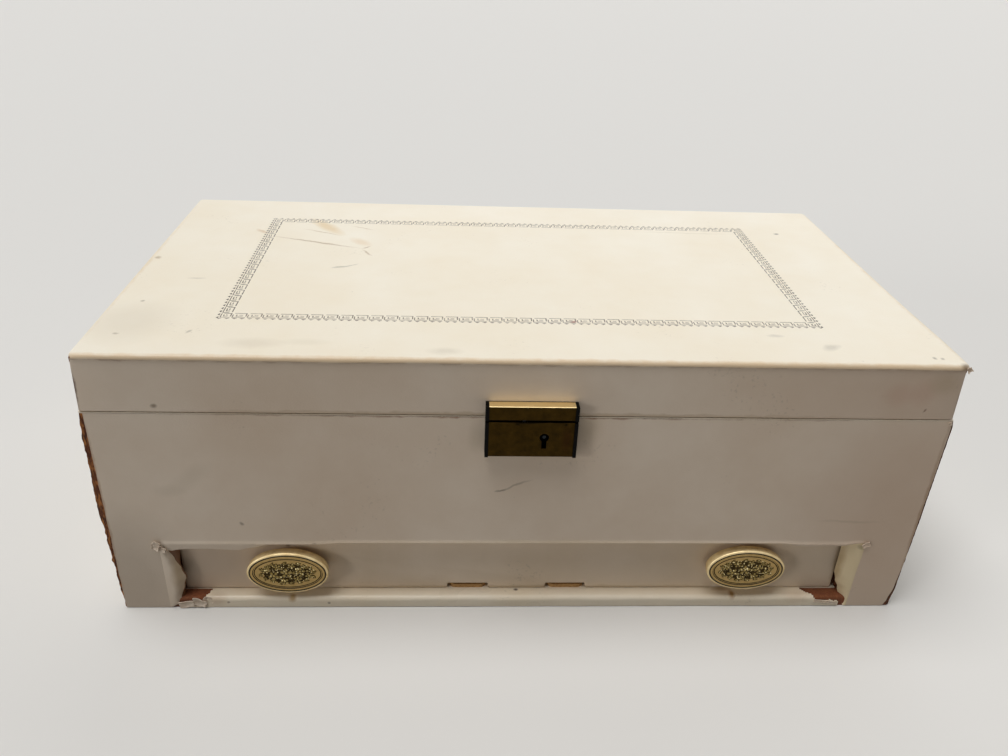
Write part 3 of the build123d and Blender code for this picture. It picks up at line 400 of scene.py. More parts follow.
# Guide strips: two slats of bare softwood, rounded at the front, that the drawer's notches ride on.
# They show as tan slivers in the notches, with fine grain along their length.
softwood, tree, shader, place = material("bare_softwood")
along_grain = add(tree, "Mapping", {"Vector": place, "Scale": (1, 0.06, 1)})
tone, _ = mottled(tree, along_grain, 700, 4, "#7d542b", "#c49a5f")
surface(tree, shader, tone, 0.7)
dress(softwood, "drawer_guides")


# The case front: one sheet of vinyl round the drawer opening, turned in along the opening's top.
# The turned edge droops at the left, and the sheet ends raggedly just short of both corners.
# The front's vinyl is the brownest of the walls: glue has come through at its edges, in tan and rust
front_stains = (
    ((-4, 74.2), (9.5, 0.8), "#8d7c68", 0.5, -25),
    ((-10.8, 71.3), (3.5, 0.8), "#6f5f4e", 0.6, -15),
    ((158, 54), (20, 0.9), "#b3a48c", 0.4, 1),
    ((-129.5, 51.8), (1.1, 1.4), "#6f6152", 0.6, -30),
    ((26, 106), (9, 12), "#b5a282", 0.35),
    ((-22, 100), (5, 10), "#b8a88c", 0.3),
    ((-96.9, 39.6), (1.6, 2, 1.1), "#5d3b22", 0.7),
    ((0, 40.4), (170, 2.4), "#c9b492", 0.45),
    ((-189.9, 60), (1, 62), "#a87a4e", 0.5),
    ((191.1, 60), (1.3, 62), "#8f6238", 0.6),
    ((0, 111.2), (191, 1.3), "#8a5636", 0.75),
    ((-150, 77), (16, 6), "#b0a189", 0.15, -38),
    ((-160, 70), (9, 4), "#b0a189", 0.13),
    ((188, 55), (75, 6, 95), "#b3957c", 0.45),
    ((-186, 18), (36, 6, 48), "#a2927f", 0.5),
)
# The front's tones are darker and tanner than the top's: painted shade for a wall that faces away from
# the overhead light
front_vinyl = vinyl("vinyl_on_case_front", ("#e5d5c2", "#d9c5af"), 1.2, front_stains)

opening_half, lip_end, crease, ridge = 169, 40.6, 41.6, 0.45
left_end, right_end, worn_from = -188.9, 189.7, 180
sides = (-opening_half, 60, -60, 100, opening_half)
front_x = steps(left_end, 12, *sides, 12, right_end)
front_z = steps(0.3, 26, lip_end, 3, crease, 7, 45, 3, 50, 34, 110.95)


def between(value, points):
    """The height at value of a smooth line through points."""
    for (a, first), (b, second) in zip(points, points[1:]):
        if value <= b:
            share = max(0, (value - a) / (b - a))
            share = share * share * (3 - 2 * share)
            return first + (second - first) * share
    return points[-1][1]


# Edges of the sheet in mm: x over the height at the sides, and z and drop along the opening's top
right_edge_cut = [(0.3, 187.2), (4, 188.6), (13, 190.2), (30, 191.2), (108, 191.8), (111, 191.4)]
right_fold = [(0.3, 168), (20, 168.2), (36, 168.8), (42, 169)]
crease_height = [(-169, 39.8), (-97, 39.9), (-85, 40.8), (125, 41), (140, 40.2), (157, 40.2)]
crease_height += [(164, 41.1)]
lip_drop = [(-169, 1.5), (-164.5, 4.9), (-160, 4.1), (-155, 3.6), (-133, 4.3), (-127, 3)]
lip_drop += [(-116, 0.7), (118, 0.6), (141, 2.2), (157, 2), (169, 0.8)]


def front_place(x, y, z):
    """Where the front sheet's points lie: ragged sides, and a lip that hangs along the opening's top."""
    over_opening = abs(x) < opening_half - 0.01
    if abs(x) < opening_half + 3 and z < crease + 5:
        near = 1 - (z - crease) / 5 if z > crease else 1
        if not over_opening:
            near = max(0, min(near, 1 - (crease - z) / 10) * (opening_half + 3 - abs(x)) / 3)
        lowered = (crease - between(x, crease_height)) * near
        if over_opening and z < crease:
            hung = (crease - z) / (crease - lip_end)
            z = crease - between(x, lip_drop) * hung + 0.15 * wander(x, 6, 4) * hung
            y -= ridge * (1 - hung) ** 2 - 0.5 * hung
        elif over_opening and y < front_y + 0.1:
            y -= ridge * math.exp(-(((z - crease) / 0.7) ** 2))
        z -= lowered
    if x < left_end + 0.1:
        x = -190 + 0.25 * wander(z, 5, 1) + 0.12 * wander(z, 1.6, 2)
    elif x > worn_from:
        edge = between(z, right_edge_cut) + 0.15 * wander(z, 6, 3)
        x = worn_from + (x - worn_from) / (right_end - worn_from) * (edge - worn_from)
    elif abs(x - opening_half) < 0.01 and z < lip_end:
        x = between(z, right_fold)
    return x, y, z


def on_lip_end(c, d):
    level = abs(c.z - lip_end) < 0.01 and abs(d.z) < 1e-6
    return abs(c.x) < opening_half and level and c.y < front_y + 0.1


def in_opening(c, n):
    return abs(c.x) < opening_half and c.z < lip_end


turned_in = {"value": (0, 4.6 * mm, 0)}
case_front = sheet("case_front_vinyl", front_x, front_z, lambda x, z: (x, front_y, z))
take_off(case_front, in_opening)
edit(case_front, "EDGE", on_lip_end, "extrude_edges_move", TRANSFORM_OT_translate=turned_in)
rounded(case_front, on_lip_end, 0.3, 2)
for vertex in case_front.data.vertices:
    vertex.co = Vector(front_place(*(vertex.co / mm))) * mm
thicken(case_front)
fit(case_front, [front_vinyl], "front_covering")


# Sprung flaps: the sheet's edges at both sides of the opening, come away from the stiles.
# The left one is folded back along a slanting crease; the right one leans in, its yellowed side showing.
# The flaps' face is the front's vinyl, with painted shade in tan along the left flap's rolled edge,
# where it turns back
flap_edge_shade = [((-162.5, -103, 22), (4.5, 4, 18), "#a88c5e", 0.6)]
flap_vinyl = vinyl("vinyl_on_flaps", ("#e3d3c0", "#d5c2aa"), 1, flap_edge_shade)
# The yellowed side shows straw and olive, where glue has aged in the light
yellow_stains = (
    ((167.5, -103.5, 38), (2.6, 4, 2), "#6e6444", 0.5),
    ((160, -101, 24), (3.2, 8, 22), "#a3865a", 0.65),
)
yellowed_vinyl = vinyl("vinyl_yellowed_side", ("#e3d3b2", "#d4bf98"), 1, yellow_stains)
# The folded-back part shows the brown of old glue on the sheet's inner side, made darker as painted
# shade where it lies back in the gap
folded_vinyl = vinyl("vinyl_folded_back", ("#744c2c", "#4f3019"))

left_fold = [(0.5, -167.6), (2.5, -164.6), (5.1, -163.5), (13.2, -161.1), (17.8, -159.9)]
left_fold += [(23.2, -161.3), (29.1, -163.5), (34.9, -165.9), (38.2, -167.2)]
right_edge = [(0.3, 166.4), (8.8, 163.5), (14, 161.2), (20, 159.6), (34.3, 159.6), (41, 159.8)]
flap_thickness, flap_plane = 0.45, front_y - 0.03


def left_flap_place(w, z):
    """w runs from the stile at 0 to the crease at 1, and on to the free edge at 1.5."""
    fold = between(z, left_fold)
    x = -opening_half + min(w, 1) * (fold + opening_half)
    rolled = 2 * max(0, min(w, 1) / 0.6 - 2 / 3) ** 2 * min(1, z / 8)
    y = flap_plane - 0.35 * math.sin(math.pi * min(w, 1)) * (z / 38) + rolled
    if w > 1:
        back = max(0.3, -161.7 - fold) * (w - 1) * 2
        x, y = x + back * 0.98, y + (w - 1) * 2 * (0.4 + min(3.6, 1.1 * back))
    return x, y + 0.1 * wander(z, 6, 8) * w, z


def right_flap_place(w, z):
    """w runs from the free edge at 0 to the stile at 1."""
    free, fold = between(z, right_edge), between(z, right_fold)
    return free + w * (fold - free), flap_plane + 4.6 * (1 - w) ** 1.6 * min(1, z / 6), z


left_flap = sheet("left_flap", steps(0, 12, 1, 5, 1.5), steps(0.5, 40, 38.2), left_flap_place)
for face in left_flap.data.polygons:
    middle = face.center / mm
    face.material_index = int(middle.x > between(middle.z, left_fold) + 0.02)
right_flap = sheet("right_flap", steps(0, 14, 1), steps(0.4, 34, 40.4), right_flap_place)
thicken(left_flap, flap_thickness)
thicken(right_flap, flap_thickness)
fit(left_flap, [flap_vinyl, folded_vinyl], "covering_flaps")
fit(right_flap, [yellowed_vinyl])
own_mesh(left_flap)
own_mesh(right_flap)

scrap("corner_scrap_left_a", (-170.2, -104.2, 39.2), (3.6, 5), -25, 61, 1.2)
scrap("corner_scrap_left_b", (-168.2, -104.1, 36.9), (4.4, 2.2), -20, 72, 0.8)
scrap("corner_scrap_right", (168.6, -104.3, 40.3), (3.8, 2.6), 28, 85, 0.8, finish=front_vinyl)


# The case's sides and back: one strip of vinyl round three walls, folded in over the top edges.
# It stops short of both front corners, where the fibreboard shows, and is cut out at the hinges.
def block(name, low, high):
    """A cube primitive between two corners in mm."""
    return primitive(
        name,
        "cube",
        size=mm,
        location=[(a + b) / 2 * mm for a, b in zip(low, high)],
        scale=[b - a for a, b in zip(low, high)],
    )


def cut(piece, tool):
    """Cuts the tool out of the piece and removes it."""
    apply(piece, "BOOLEAN", object=tool, operation="DIFFERENCE", solver="EXACT")
    bpy.data.objects.remove(tool)


def wrapped(name, low, high, rim_up):
    """A strip of vinyl round a box's walls, folded in over their edges."""
    piece = block(name, low, high)
    take_off(piece, lambda c, n: n.z * rim_up < -0.5)
    select(piece, "FACE", lambda c, n: n.z * rim_up > 0.5)
    bpy.ops.mesh.inset(thickness=8.6 * mm)
    bpy.ops.mesh.delete(type="FACE")
    leave_edit()
    rounded(piece, upright, 0.8, 3)
    edit(piece, "EDGE", long, "subdivide", number_cuts=24)
    return piece


def upright(c, d):
    return abs(d.z) > 0.9 * d.length


def long(c, d):
    return d.length > 20 * mm


def cut_hinge_seats(piece):
    """Cuts the fold out where the hinge leaves sit."""
    for x in (-139.1, 100.9):
        cut(piece, block("seat", (x, 96.9, 109), (x + 38.2, 104.8, 113)))


# The walls' vinyl: less handled, so an even cream, tan at the front corners and along the floor
wrap_stains = (
    ((-190.5, -92, 60), (3, 9, 70), "#a98c66", 0.5),
    ((190.5, -92, 60), (3, 9, 70), "#a98c66", 0.5),
    ((0, 104, 4), (190, 3, 9), "#b7a684", 0.4),
    ((-190.5, 0, 4), (3, 104, 8), "#b7a684", 0.4),
    ((190.5, 0, 4), (3, 104, 8), "#b7a684", 0.4),
)
wrap_vinyl = vinyl("vinyl_on_sides_and_back", ("#e9dcc8", "#dccbb2"), 3, wrap_stains)

half_width, case_top, wrap_thickness = 190.5, 111.25, 0.55
low_corner, high_corner = (-half_width, front_y, 0.3), (half_width, -front_y, case_top)
case_wrap = wrapped("case_wrap_vinyl", low_corner, high_corner, 1)


def in_front(c, n):
    return n.y < -0.5 and c.y < front_y + 1 and c.z < case_top - 0.05


take_off(case_wrap, in_front)
# How far the sides are sprung out at the front corners, over the height, in mm
sprung_left = [(0.3, 0), (18, 1.1), (47, 1.9), (60, 2.7), (81, 2.2), (95, 2.3), (111.3, 1.3)]
sprung_right = [(0.3, 0), (14, 1.1), (61, 2), (107, 2.4), (111.3, 1.6)]
for vertex in case_wrap.data.vertices:
    x, y, z = vertex.co / mm
    sprung = between(z, sprung_left if x < 0 else sprung_right)
    sprung *= math.exp(-(((y - front_y) / 45) ** 2))
    if abs(x) > half_width - 1.5:
        vertex.co.x += math.copysign(sprung, x) * mm
    if y < front_y + 1 and z < 110.9:
        torn = 1.4 + 0.9 * wander(z, 9, 1) + 0.5 * wander(z, 2.5, 3) if x < 0 else 0.3
        vertex.co.y += (torn + 0.2 * wander(z, 1.5, x)) * mm
thicken(case_wrap, wrap_thickness)
cut_hinge_seats(case_wrap)
fit(case_wrap, [wrap_vinyl], "case_covering", "case_rim_binding")


# Burst corners: fibres of the board that stand out between the front sheet and the side's vinyl.
# They are widest and most ragged on the left, with split layers and dark hollows.
def split_board(name, dark, light, bruised):
    """Torn fibreboard: strands 0.7 mm wide with hollows between them, and darker bruises."""
    made, tree, shader, place = material(name)
    strands = add(tree, "Mapping", {"Vector": place, "Scale": (1, 1, 0.14)})
    tone, split = mottled(tree, strands, 1400, 4, dark, light, 0.42, 0.6)
    tone, _ = mottled(tree, place, 210, 4, tone, bruised, 0.48, 0.62, 0.85)
    surface(tree, shader, tone, 0.9, 0, split, 0.9, 0.6)
    return made


# A fresh tear is orange with dark gaps; an old one has gone dull brown, almost black in its gaps
fresh_tear = split_board("torn_fibreboard", "#43200e", "#bd7a40", "#5a2c12")
old_tear = split_board("torn_fibreboard_darkened", "#2c140a", "#6e4222", "#3a1c0e")


def corner_fibres(name, side, sprung_by, back, ragged, finish):
    """The fibres of one corner, from the front sheet at w = 0 round to the side's vinyl at 2."""

    def place_of(w, z):
        rough = ragged * (wander(z, 3.4, 1) + 0.4 * wander(z, 1.2, 2)) * (0.4 < w < 1.6)
        x = 188.6 + min(w, 1) * (1.7 + between(z, sprung_by)) + rough
        y = -103.25 + max(0, w - 1) * (back + 103.25)
        return side * x, y - 0.22 * (1 + wander(z, 1.6, 9 * w)) * (0.2 < w < 1.6), z

    fibres = sheet(name, steps(0, 7, 1, 6, 2), steps(0.5, 160, 110.6), place_of)
    if side < 0:
        edit(fibres, "FACE", lambda c, n: True, "flip_normals")
    thicken(fibres)
    fit(fibres, [finish], slot="fibreboard")


corner_fibres("left_corner_fibres", -1, sprung_left, -99.6, 0.55, fresh_tear)
corner_fibres("right_corner_fibres", 1, sprung_right, -102.2, 0.15, old_tear)
scrap("rim_fray_right", (190.6, -103.9, 109.6), (1.7, 1.8), 20, 97, 0.6)


# The well's lining: wine-red flock, glued fibres on the inside of the walls and floor,
# on the well's dividers and on the lid's inner walls. It is paler where fingers rub it.
def pile(name, dark, light):
    """Short cut fibres: two tones in soft patches, with a dusty sheen at grazing angles."""
    made, tree, shader, place = material(name)
    tone, _ = mottled(tree, place, 45, 4, dark, light)
    hairs = add(tree, "TexNoise", {"Vector": place, "Scale": 2200, "Detail": 2})
    surface(tree, shader, tone, 0.95, 0, hairs, 0.4, 0.3)
    wire(tree, shader, {"Sheen Weight": 0.5, "Sheen Roughness": 0.4, "Sheen Tint": light})
    return made


# Flock: a deep wine red without any gloss
flock = pile("wine_red_flock", "#4d0f1b", "#6e1b2a")
dress(flock, "well_lining", "well_dividers", "lid_wall_lining")
dress(flock, "tray_long_walls", "tray_end_walls", "tray_floor", "tray_dividers")
dress(flock, "drawer_sides", "drawer_back", "drawer_dividers")


# Bright brass: the hinges, the lift's arms and brackets, their studs and the tray's pins.
# It is stamped sheet and turned pins, plated, with a little brown tarnish in patches.
def metal(name, bright, dull, roughness):
    """A bare metal with duller patches and fine rubbing marks."""
    made, tree, shader, place = material(name)
    tone, film = mottled(tree, place, 180, 5, bright, dull, 0.45, 0.7)
    rubbed = add(tree, "Mapping", {"Vector": place, "Scale": (1, 1, 0.1)})
    lines = add(tree, "TexNoise", {"Vector": rubbed, "Scale": 1800, "Detail": 3})
    shine = add(tree, "MapRange", {0: film, 3: roughness - 0.08, 4: roughness + 0.14})
    surface(tree, shader, tone, shine, 1, lines, 0.15, 0.1)
    return made


# Plated brass: bright yellow highlights against brown patches
brass = metal("plated_brass", "#e3c079", "#a9813f", 0.28)
dress(brass, "case_hinge_leaves", "lid_hinge_leaves", "hinge_pins", "left_lift_arm")
dress(brass, "right_lift_arm", "lid_brackets", "arm_studs", "tray_pins")


# Steel: screws, rivets, the lock's bolt, the hasp's tongue and the key post.
# It is plain nickelled wire and strip: a soft grey shine on the heads, and a near black copy as painted
# shade for the parts inside the lock.
steel = metal("nickelled_steel", "#a8a49b", "#6b655c", 0.35)
# The second copy is the same steel painted near black, as shade inside the lock
steel_shaded_in_lock = metal("steel_painted_dark_in_lock", "#2b2e31", "#18191a", 0.4)
dress(steel, "case_hinge_screws", "lid_hinge_screws", "bracket_rivets", "lock_rivets")
dress(steel, "hasp_rivets", "knob_screws")
dress(steel_shaded_in_lock, "lock_bolt", "hasp_tongue", "key_post")


# The lock and its hasp: pressed brass cases, aged to a dark olive and darkened further as painted shade
# for a dark room mirrored in the metal, with a painted highlight in pale gold on the hasp's top face.
# Grime gathers along their lower edges, and the top edge is nicked.
aged_brass_with_painted_light, tree, shader, place = material("aged_brass_case_with_painted_light")
# The dark olive tones are partly age and partly painted shade, a painted reflection of a dark room
tone, film = mottled(tree, place, 210, 6, "#3a2a0d", "#261b08", 0.3, 0.7, grit=0.65)
lock_face_y, hasp_from = -109, 115 * mm
lock_stains = (
    ((17, 102), (3, 9), "#2c170b", 0.5),
    ((1.5, 111.3), (22, 0.9), "#120d06", 0.9),
    ((-4.6, 110.4), (1.3, 0.9), "#120d06", 0.9),
    ((16.1, 110.3), (0.9, 1.1), "#120d06", 0.9),
)
tone = stained_and_shaded(tree, tone, unsteady(tree, place, 0.8), lock_stains, level=lock_face_y)
# Painted highlight: the hasp's top face, where it faces up, is pale gold
facing = add(tree, "NewGeometry", out="Normal")
upward = add(tree, "SeparateXYZ", {0: facing}, 2)
height = add(tree, "SeparateXYZ", {0: place}, 2)
on_hasp = add(tree, "Math", {0: height, 1: hasp_from}, operation="GREATER_THAN")
level = add(tree, "MapRange", {0: upward, 1: 0.5, 2: 0.8})
top_highlight = add(tree, "Math", {0: level, 1: on_hasp}, operation="MULTIPLY")
tone = add(tree, "Mix", {0: top_highlight, 6: tone, 7: "#f0d9a4"}, 2, data_type="RGBA")
shine = add(tree, "MapRange", {0: film, 3: 0.30, 4: 0.52})
surface(tree, shader, tone, shine, 1, film, 0.25, 0.3)
dress(aged_brass_with_painted_light, "lock_case", "hasp_case")


# Black back plates: folded steel channels behind the lock and hasp, stove-enamelled black.
# The enamel is thin and satin, so they read as flat black with brown rust in pinholes.
enamel, tree, shader, place = material("black_enamelled_steel")
tone, pits = mottled(tree, place, 900, 3, "#030303", "#1c110a", 0.6, 0.72, 0.6)
surface(tree, shader, tone, 0.55, 0, pits, 0.2, 0.2)
wire(tree, shader, {"Specular IOR Level": 0.06})
dress(enamel, "lock_back_plate", "hasp_back_plate")


# The mirror: silvered float glass with a ground bevel, glued to the padded board.
# It throws back a clear image, a little cool, with a faint haze in patches.
silvered, tree, shader, place = material("silvered_glass")
haze = add(tree, "TexNoise", {"Vector": place, "Scale": 22, "Detail": 5})
shine = add(tree, "MapRange", {0: haze, 3: 0.01, 4: 0.07})
surface(tree, shader, "#dfe4e4", shine, 1)
dress(silvered, "mirror_glass")


# The lid's sides: a strip of the same vinyl round the lid, up behind the top's rolled edge.
# A painted shadow line shows under the roll, red-brown at the left end of the front.
# Pink and olive smudges warm its right end, and tan shows along its lower edge.
lid_stains_and_shadow_line = (
    # The first two rows are the painted shadow line under the roll
    ((0, 137), (900, 2, 0.9), "#8a6c48", 0.35),
    ((-176, 136.6), (16, 2, 0.8), "#7a4a34", 0.3),
    ((-159.8, 114.6), (1.6, 2, 1.2), "#6e5a42", 0.7),
    ((164, 124), (9, 7), "#c08874", 0.24),
    ((174, 125), (7, 9), "#c08874", 0.24),
    ((182.5, 130), (9, 7), "#9c8c5e", 0.32),
    ((177, 116.4), (1.6, 0.6), "#5a3228", 0.8, -50),
    ((0, 112.2), (190, 2, 1.4), "#a88f68", 0.45),
    ((-190.9, -103.6, 124), (1.1, 2.4, 14), "#47200f", 0.9),
    ((190.9, -103.6, 124), (1.1, 2.4, 14), "#6b4a2e", 0.6),
    ((185, 124), (90, 6, 40), "#b3957c", 0.4),
)
# Its tones, like the case front's, are darker than the top's as painted shade
lid_vinyl = vinyl("vinyl_on_lid_sides", ("#e2d2bf", "#d6c2ac"), 1.2, lid_stains_and_shadow_line)

lid_low, lid_high = 111.85, 137.2
low_corner, high_corner = (-half_width, front_y, lid_low), (half_width, -front_y, lid_high)
lid_wrap = wrapped("lid_wrap_vinyl", low_corner, high_corner, -1)
for vertex in lid_wrap.data.vertices:
    x, y, z = vertex.co / mm
    if abs(x) > half_width - 1.5:
        sprung = (lid_high - z) / (lid_high - lid_low) * math.exp(-(((y - front_y) / 60) ** 2))
        vertex.co.x += math.copysign(0.9 * sprung, x) * mm
thicken(lid_wrap, wrap_thickness)
cut_hinge_seats(lid_wrap)
fit(lid_wrap, [lid_vinyl], "lid_side_covering", "lid_rim_binding", body="lid")


# The lid's top: a sheet of vinyl over the panel, its edge rolled round and tucked under all round.
# It is printed with a key border in taupe, rubbed thin in places, and stained and scratched.
# It is the palest vinyl, an ivory that sets off the border, and tan along the roll, where the tan is
# partly painted shade of the edge turning down.
top_z = 139
top_stains_and_roll_shade = (
    ((-106.6, 58), (19, 5.5), "#d6b77e", 0.6, -52),
    ((-85, 34), (10, 4.5), "#dfc8a6", 0.6, -46),
    ((-141.8, 48), (6.5, 2), "#c9ab83", 0.6, -43),
    ((-109.2, 32.4), (29, 1.1), "#a98f6c", 0.8, -18.4),
    ((-81.3, 25.9), (3.6, 0.8), "#a98f6c", 0.7, 35),
    ((-80.6, 18), (6.5, 0.8), "#a98f6c", 0.6, -58),
    ((-108.3, 48.8), (13.5, 0.8), "#b9a07a", 0.6, -24),
    ((-86.3, 57.3), (8.5, 0.8), "#b9a07a", 0.5, -24),
    ((-91.6, -3.6), (6, 1.3), "#a29a88", 0.65, 14),
    ((-86.4, -1), (5, 0.8), "#a29a88", 0.55, 34),
    ((104, 60.6), (32, 0.7), "#c4b99f", 0.5, -1),
    ((178.8, -97.2), (1.4, 1.4), "#8b8173", 0.7),
    ((182.2, -97.9), (1.2, 1.2), "#8b8173", 0.6),
    ((135.3, -88), (6, 3.6), "#b5ad9d", 0.5, 30),
    ((113.6, -77), (5, 2), "#bcb4a4", 0.45),
    ((-36.4, -96.6), (9, 4), "#c6bca8", 0.4),
    ((159.1, 62.6), (1.8, 1.6), "#5a4a3a", 0.8),
    ((22.5, -65.6), (2.4, 1.3), "#8c3e2c", 0.85, 25),
    ((-177.4, -49.9), (1.4, 1.6), "#8d7d66", 0.6),
    ((-186.6, 5), (2, 2.6), "#9c8460", 0.6),
    ((-177.6, -84.5), (1.8, 1.2), "#8d7d66", 0.6),
    ((-147.6, -81.2), (1, 2.6), "#948a78", 0.5, -20),
    ((-160.1, -21.7), (5, 0.8), "#948a78", 0.45),
    ((-176, -72), (24, 26), "#c9bca6", 0.3),
    ((-118.5, -91.7), (16, 6), "#c9bca6", 0.3),
    ((-96.8, -90), (13, 4), "#d2c6ac", 0.25),
    # The tan bands along the rolls are partly painted shade where the edge turns down
    ((0, -104.8, 138), (900, 3.2, 2.6), "#d9ba92", 0.75),
    ((-191, 0, 138.6), (3, 120, 3), "#d6be98", 0.6),
    ((191, 0, 138.6), (3, 120, 3), "#d6be98", 0.6),
    ((189.6, -103.4, 138.4), (3, 3, 3), "#6b5236", 0.7),
)

# The border's size and place in mm, the units from its middle to a corner, and the bars of a unit.
# u runs along a unit from 0 to 1, and v inward from the border's edge in mm. A unit is 6.7 mm long.
border_half, border_shift, half_units = (139.9, 69.9, 0), (0, 1.5 * mm, 0), (20.5, 10.5, 0)
key_bars = (
    (0.02, 0.90, 1.75, 2.2), (0.02, 0.09, 1.75, 4.9), (0.26, 0.72, 2.95, 3.4), (0.26, 0.34, 2.95, 4.9),
    (0.46, 0.72, 4.1, 4.55), (0.88, 0.96, 3, 6.4), (0.14, 0.96, 5.9, 6.4),
)


def bar(tree, u, v, low, high, near, far):
    """1 inside a rectangle of the pattern, with u from low to high and v from near to far."""
    middle, half = (low + high) / 2, (high - low) / 2
    along = add(tree, "Math", {0: u, 1: middle, 2: half}, operation="COMPARE")
    middle, half = (near + far) / 2, (far - near) / 2
    across = add(tree, "Math", {0: v, 1: middle, 2: half}, operation="COMPARE")
    return add(tree, "Math", {0: along, 1: across}, operation="MULTIPLY")


def key_border(tree, place, tone):
    """Prints the border over a tone, and gives the tone and the mark: runs of keys between a row of
    teeth outside and a line inside, which is paler at the ends and rubbed thin in patches."""
    moved = {0: unsteady(tree, place, 0.06), 1: border_shift}
    centred = add(tree, "VectorMath", moved, operation="SUBTRACT")
    in_mm = add(tree, "VectorMath", {0: centred, "Scale": 1000}, operation="SCALE")
    mirrored = add(tree, "VectorMath", {0: in_mm}, operation="ABSOLUTE")
    inward = add(tree, "VectorMath", {0: border_half, 1: mirrored}, operation="SUBTRACT")
    from_side, from_end, _ = add(tree, "SeparateXYZ", {0: inward}).node.outputs
    v = add(tree, "Math", {0: from_side, 1: from_end}, operation="MINIMUM")
    on_side = add(tree, "Math", {0: from_side, 1: from_end}, operation="LESS_THAN")
    per_mm = (half_units[0] / border_half[0], half_units[1] / border_half[1], 0)
    counting = {0: in_mm, 1: per_mm, 2: half_units}
    counted = add(tree, "VectorMath", counting, operation="MULTIPLY_ADD")
    in_unit = add(tree, "VectorMath", {0: counted}, operation="FRACTION")
    u_front, u_side, _ = add(tree, "SeparateXYZ", {0: in_unit}).node.outputs
    u = add(tree, "Mix", {0: on_side, 2: u_front, 3: u_side})
    # Two teeth in a unit, 1.2 mm high
    half_unit = add(tree, "Math", {0: u, 1: 0.5}, operation="PINGPONG")
    from_tip = add(tree, "Math", {0: half_unit, 1: 0.25}, operation="SUBTRACT")
    sideways = add(tree, "Math", {0: from_tip}, operation="ABSOLUTE")
    slope = add(tree, "Math", {0: sideways, 1: 6.4, 2: 0.05}, operation="MULTIPLY_ADD")
    inside = add(tree, "Math", {0: v, 1: slope}, operation="GREATER_THAN")
    row = add(tree, "Math", {0: v, 1: 0.6, 2: 0.6}, operation="COMPARE")
    mark = add(tree, "Math", {0: inside, 1: row}, operation="MULTIPLY")
    for box in key_bars:
        mark = add(tree, "Math", {0: mark, 1: bar(tree, u, v, *box)}, operation="MAXIMUM")
    rubbing = add(tree, "TexNoise", {"Vector": place, "Scale": 240, "Detail": 4})
    kept = add(tree, "MapRange", {0: rubbing, 1: 0.25, 2: 0.5, 3: 0.6, 4: 1})
    mark = add(tree, "Math", {0: mark, 1: kept}, operation="MULTIPLY")
    ink = add(tree, "Mix", {0: on_side, 6: "#6a5f52", 7: "#3f352b"}, 2, data_type="RGBA")
    return add(tree, "Mix", {0: mark, 6: tone, 7: ink}, 2, data_type="RGBA"), mark


top_vinyl = vinyl(
    "vinyl_on_lid_top",
    ("#f0e8d6", "#ebdfc7"),
    1.4,
    top_stains_and_roll_shade,
    printed=key_border,
    axis=2,
    level=top_z,
)


def at_rim(c, d):
    return c.z > top_z - 0.1 and (abs(c.x) > 189 or abs(c.y) > 102.5)


lid_top = block("lid_top_vinyl", (-191, -104.5, 137.1), (191, 104.5, top_z))
take_off(lid_top, lambda c, n: n.z < -0.5)
rounded(lid_top, upright, 3, 4)
rounded(lid_top, at_rim, 1.6, 5)


def flat_middle(c, n):
    return n.z > 0.999 and c.length < top_z + 0.5


# A ring inside the roll keeps the wide flat middle from taking the roll's shading
edit(lid_top, "FACE", flat_middle, "inset", thickness=1 * mm)
edit(lid_top, "EDGE", long, "subdivide", number_cuts=56)
# The lower edge waves a little, and the right side stands out near the front
for vertex in lid_top.data.vertices:
    x, y, z = vertex.co / mm
    if z < 137.4:
        vertex.co.z += 0.28 * wander(x + y, 11, 2) * mm
    if x > 190 and y < 0:
        vertex.co.x += 1.2 * math.exp(-(((y + 88) / 34) ** 2)) * mm
    if z < 138.2:
        vertex.co.y += math.copysign(0.14 * wander(x, 8, 5), y) * mm * (abs(y) > 104)
thicken(lid_top)
fit(lid_top, [top_vinyl], "lid_top_covering", body="lid")
scrap("lid_corner_fray", (191, -104.1, 137.4), (2, 2.6), 35, 91, 0.7, "lid")


# The drawer front: a softwood board wrapped in vinyl, notched twice for the guide strips.
# The vinyl is browner than the case's, with a torn spot that shows white and dark nicks.
drawer_y = -97.5
drawer_stains = (
    ((100.2, 7.4), (2.6, 2, 1.2), "#efe6da", 0.9),
    ((-110.5, 33.8), (2, 2, 1.2), "#5f4a34", 0.6),
    ((0, 40.4), (163, 2, 1.8), "#b39c74", 0.5),
    ((-162, 24), (1.4, 2, 18), "#a98d63", 0.4),
    ((-150, 24), (50, 4, 40), "#a98f7a", 0.35),
    ((160.6, 24), (2.2, 2, 18), "#a98d63", 0.6),
    ((0, 7.2), (163, 2, 1.6), "#b59e79", 0.5),
)
# Like the case front's, these tones are darker than the top's as painted shade
drawer_tones = ("#e1cfb9", "#d2bda2")
drawer_vinyl = vinyl("vinyl_on_drawer_front", drawer_tones, 1.2, drawer_stains, level=drawer_y)
drawer_front = block("drawer_front_board", (-162.5, drawer_y, 6.6), (161, -92.1, 41))
for x in (-34.5, 14.5):
    cut(drawer_front, block("notch", (x, -98, 6), (x + 20, -91, 9.4)))
apply(drawer_front, "BEVEL", width=0.8 * mm, segments=3, limit_method="ANGLE")
covered = ("drawer_front", "drawer_front_covering")
fit(drawer_front, [drawer_vinyl], *covered, body="drawer")


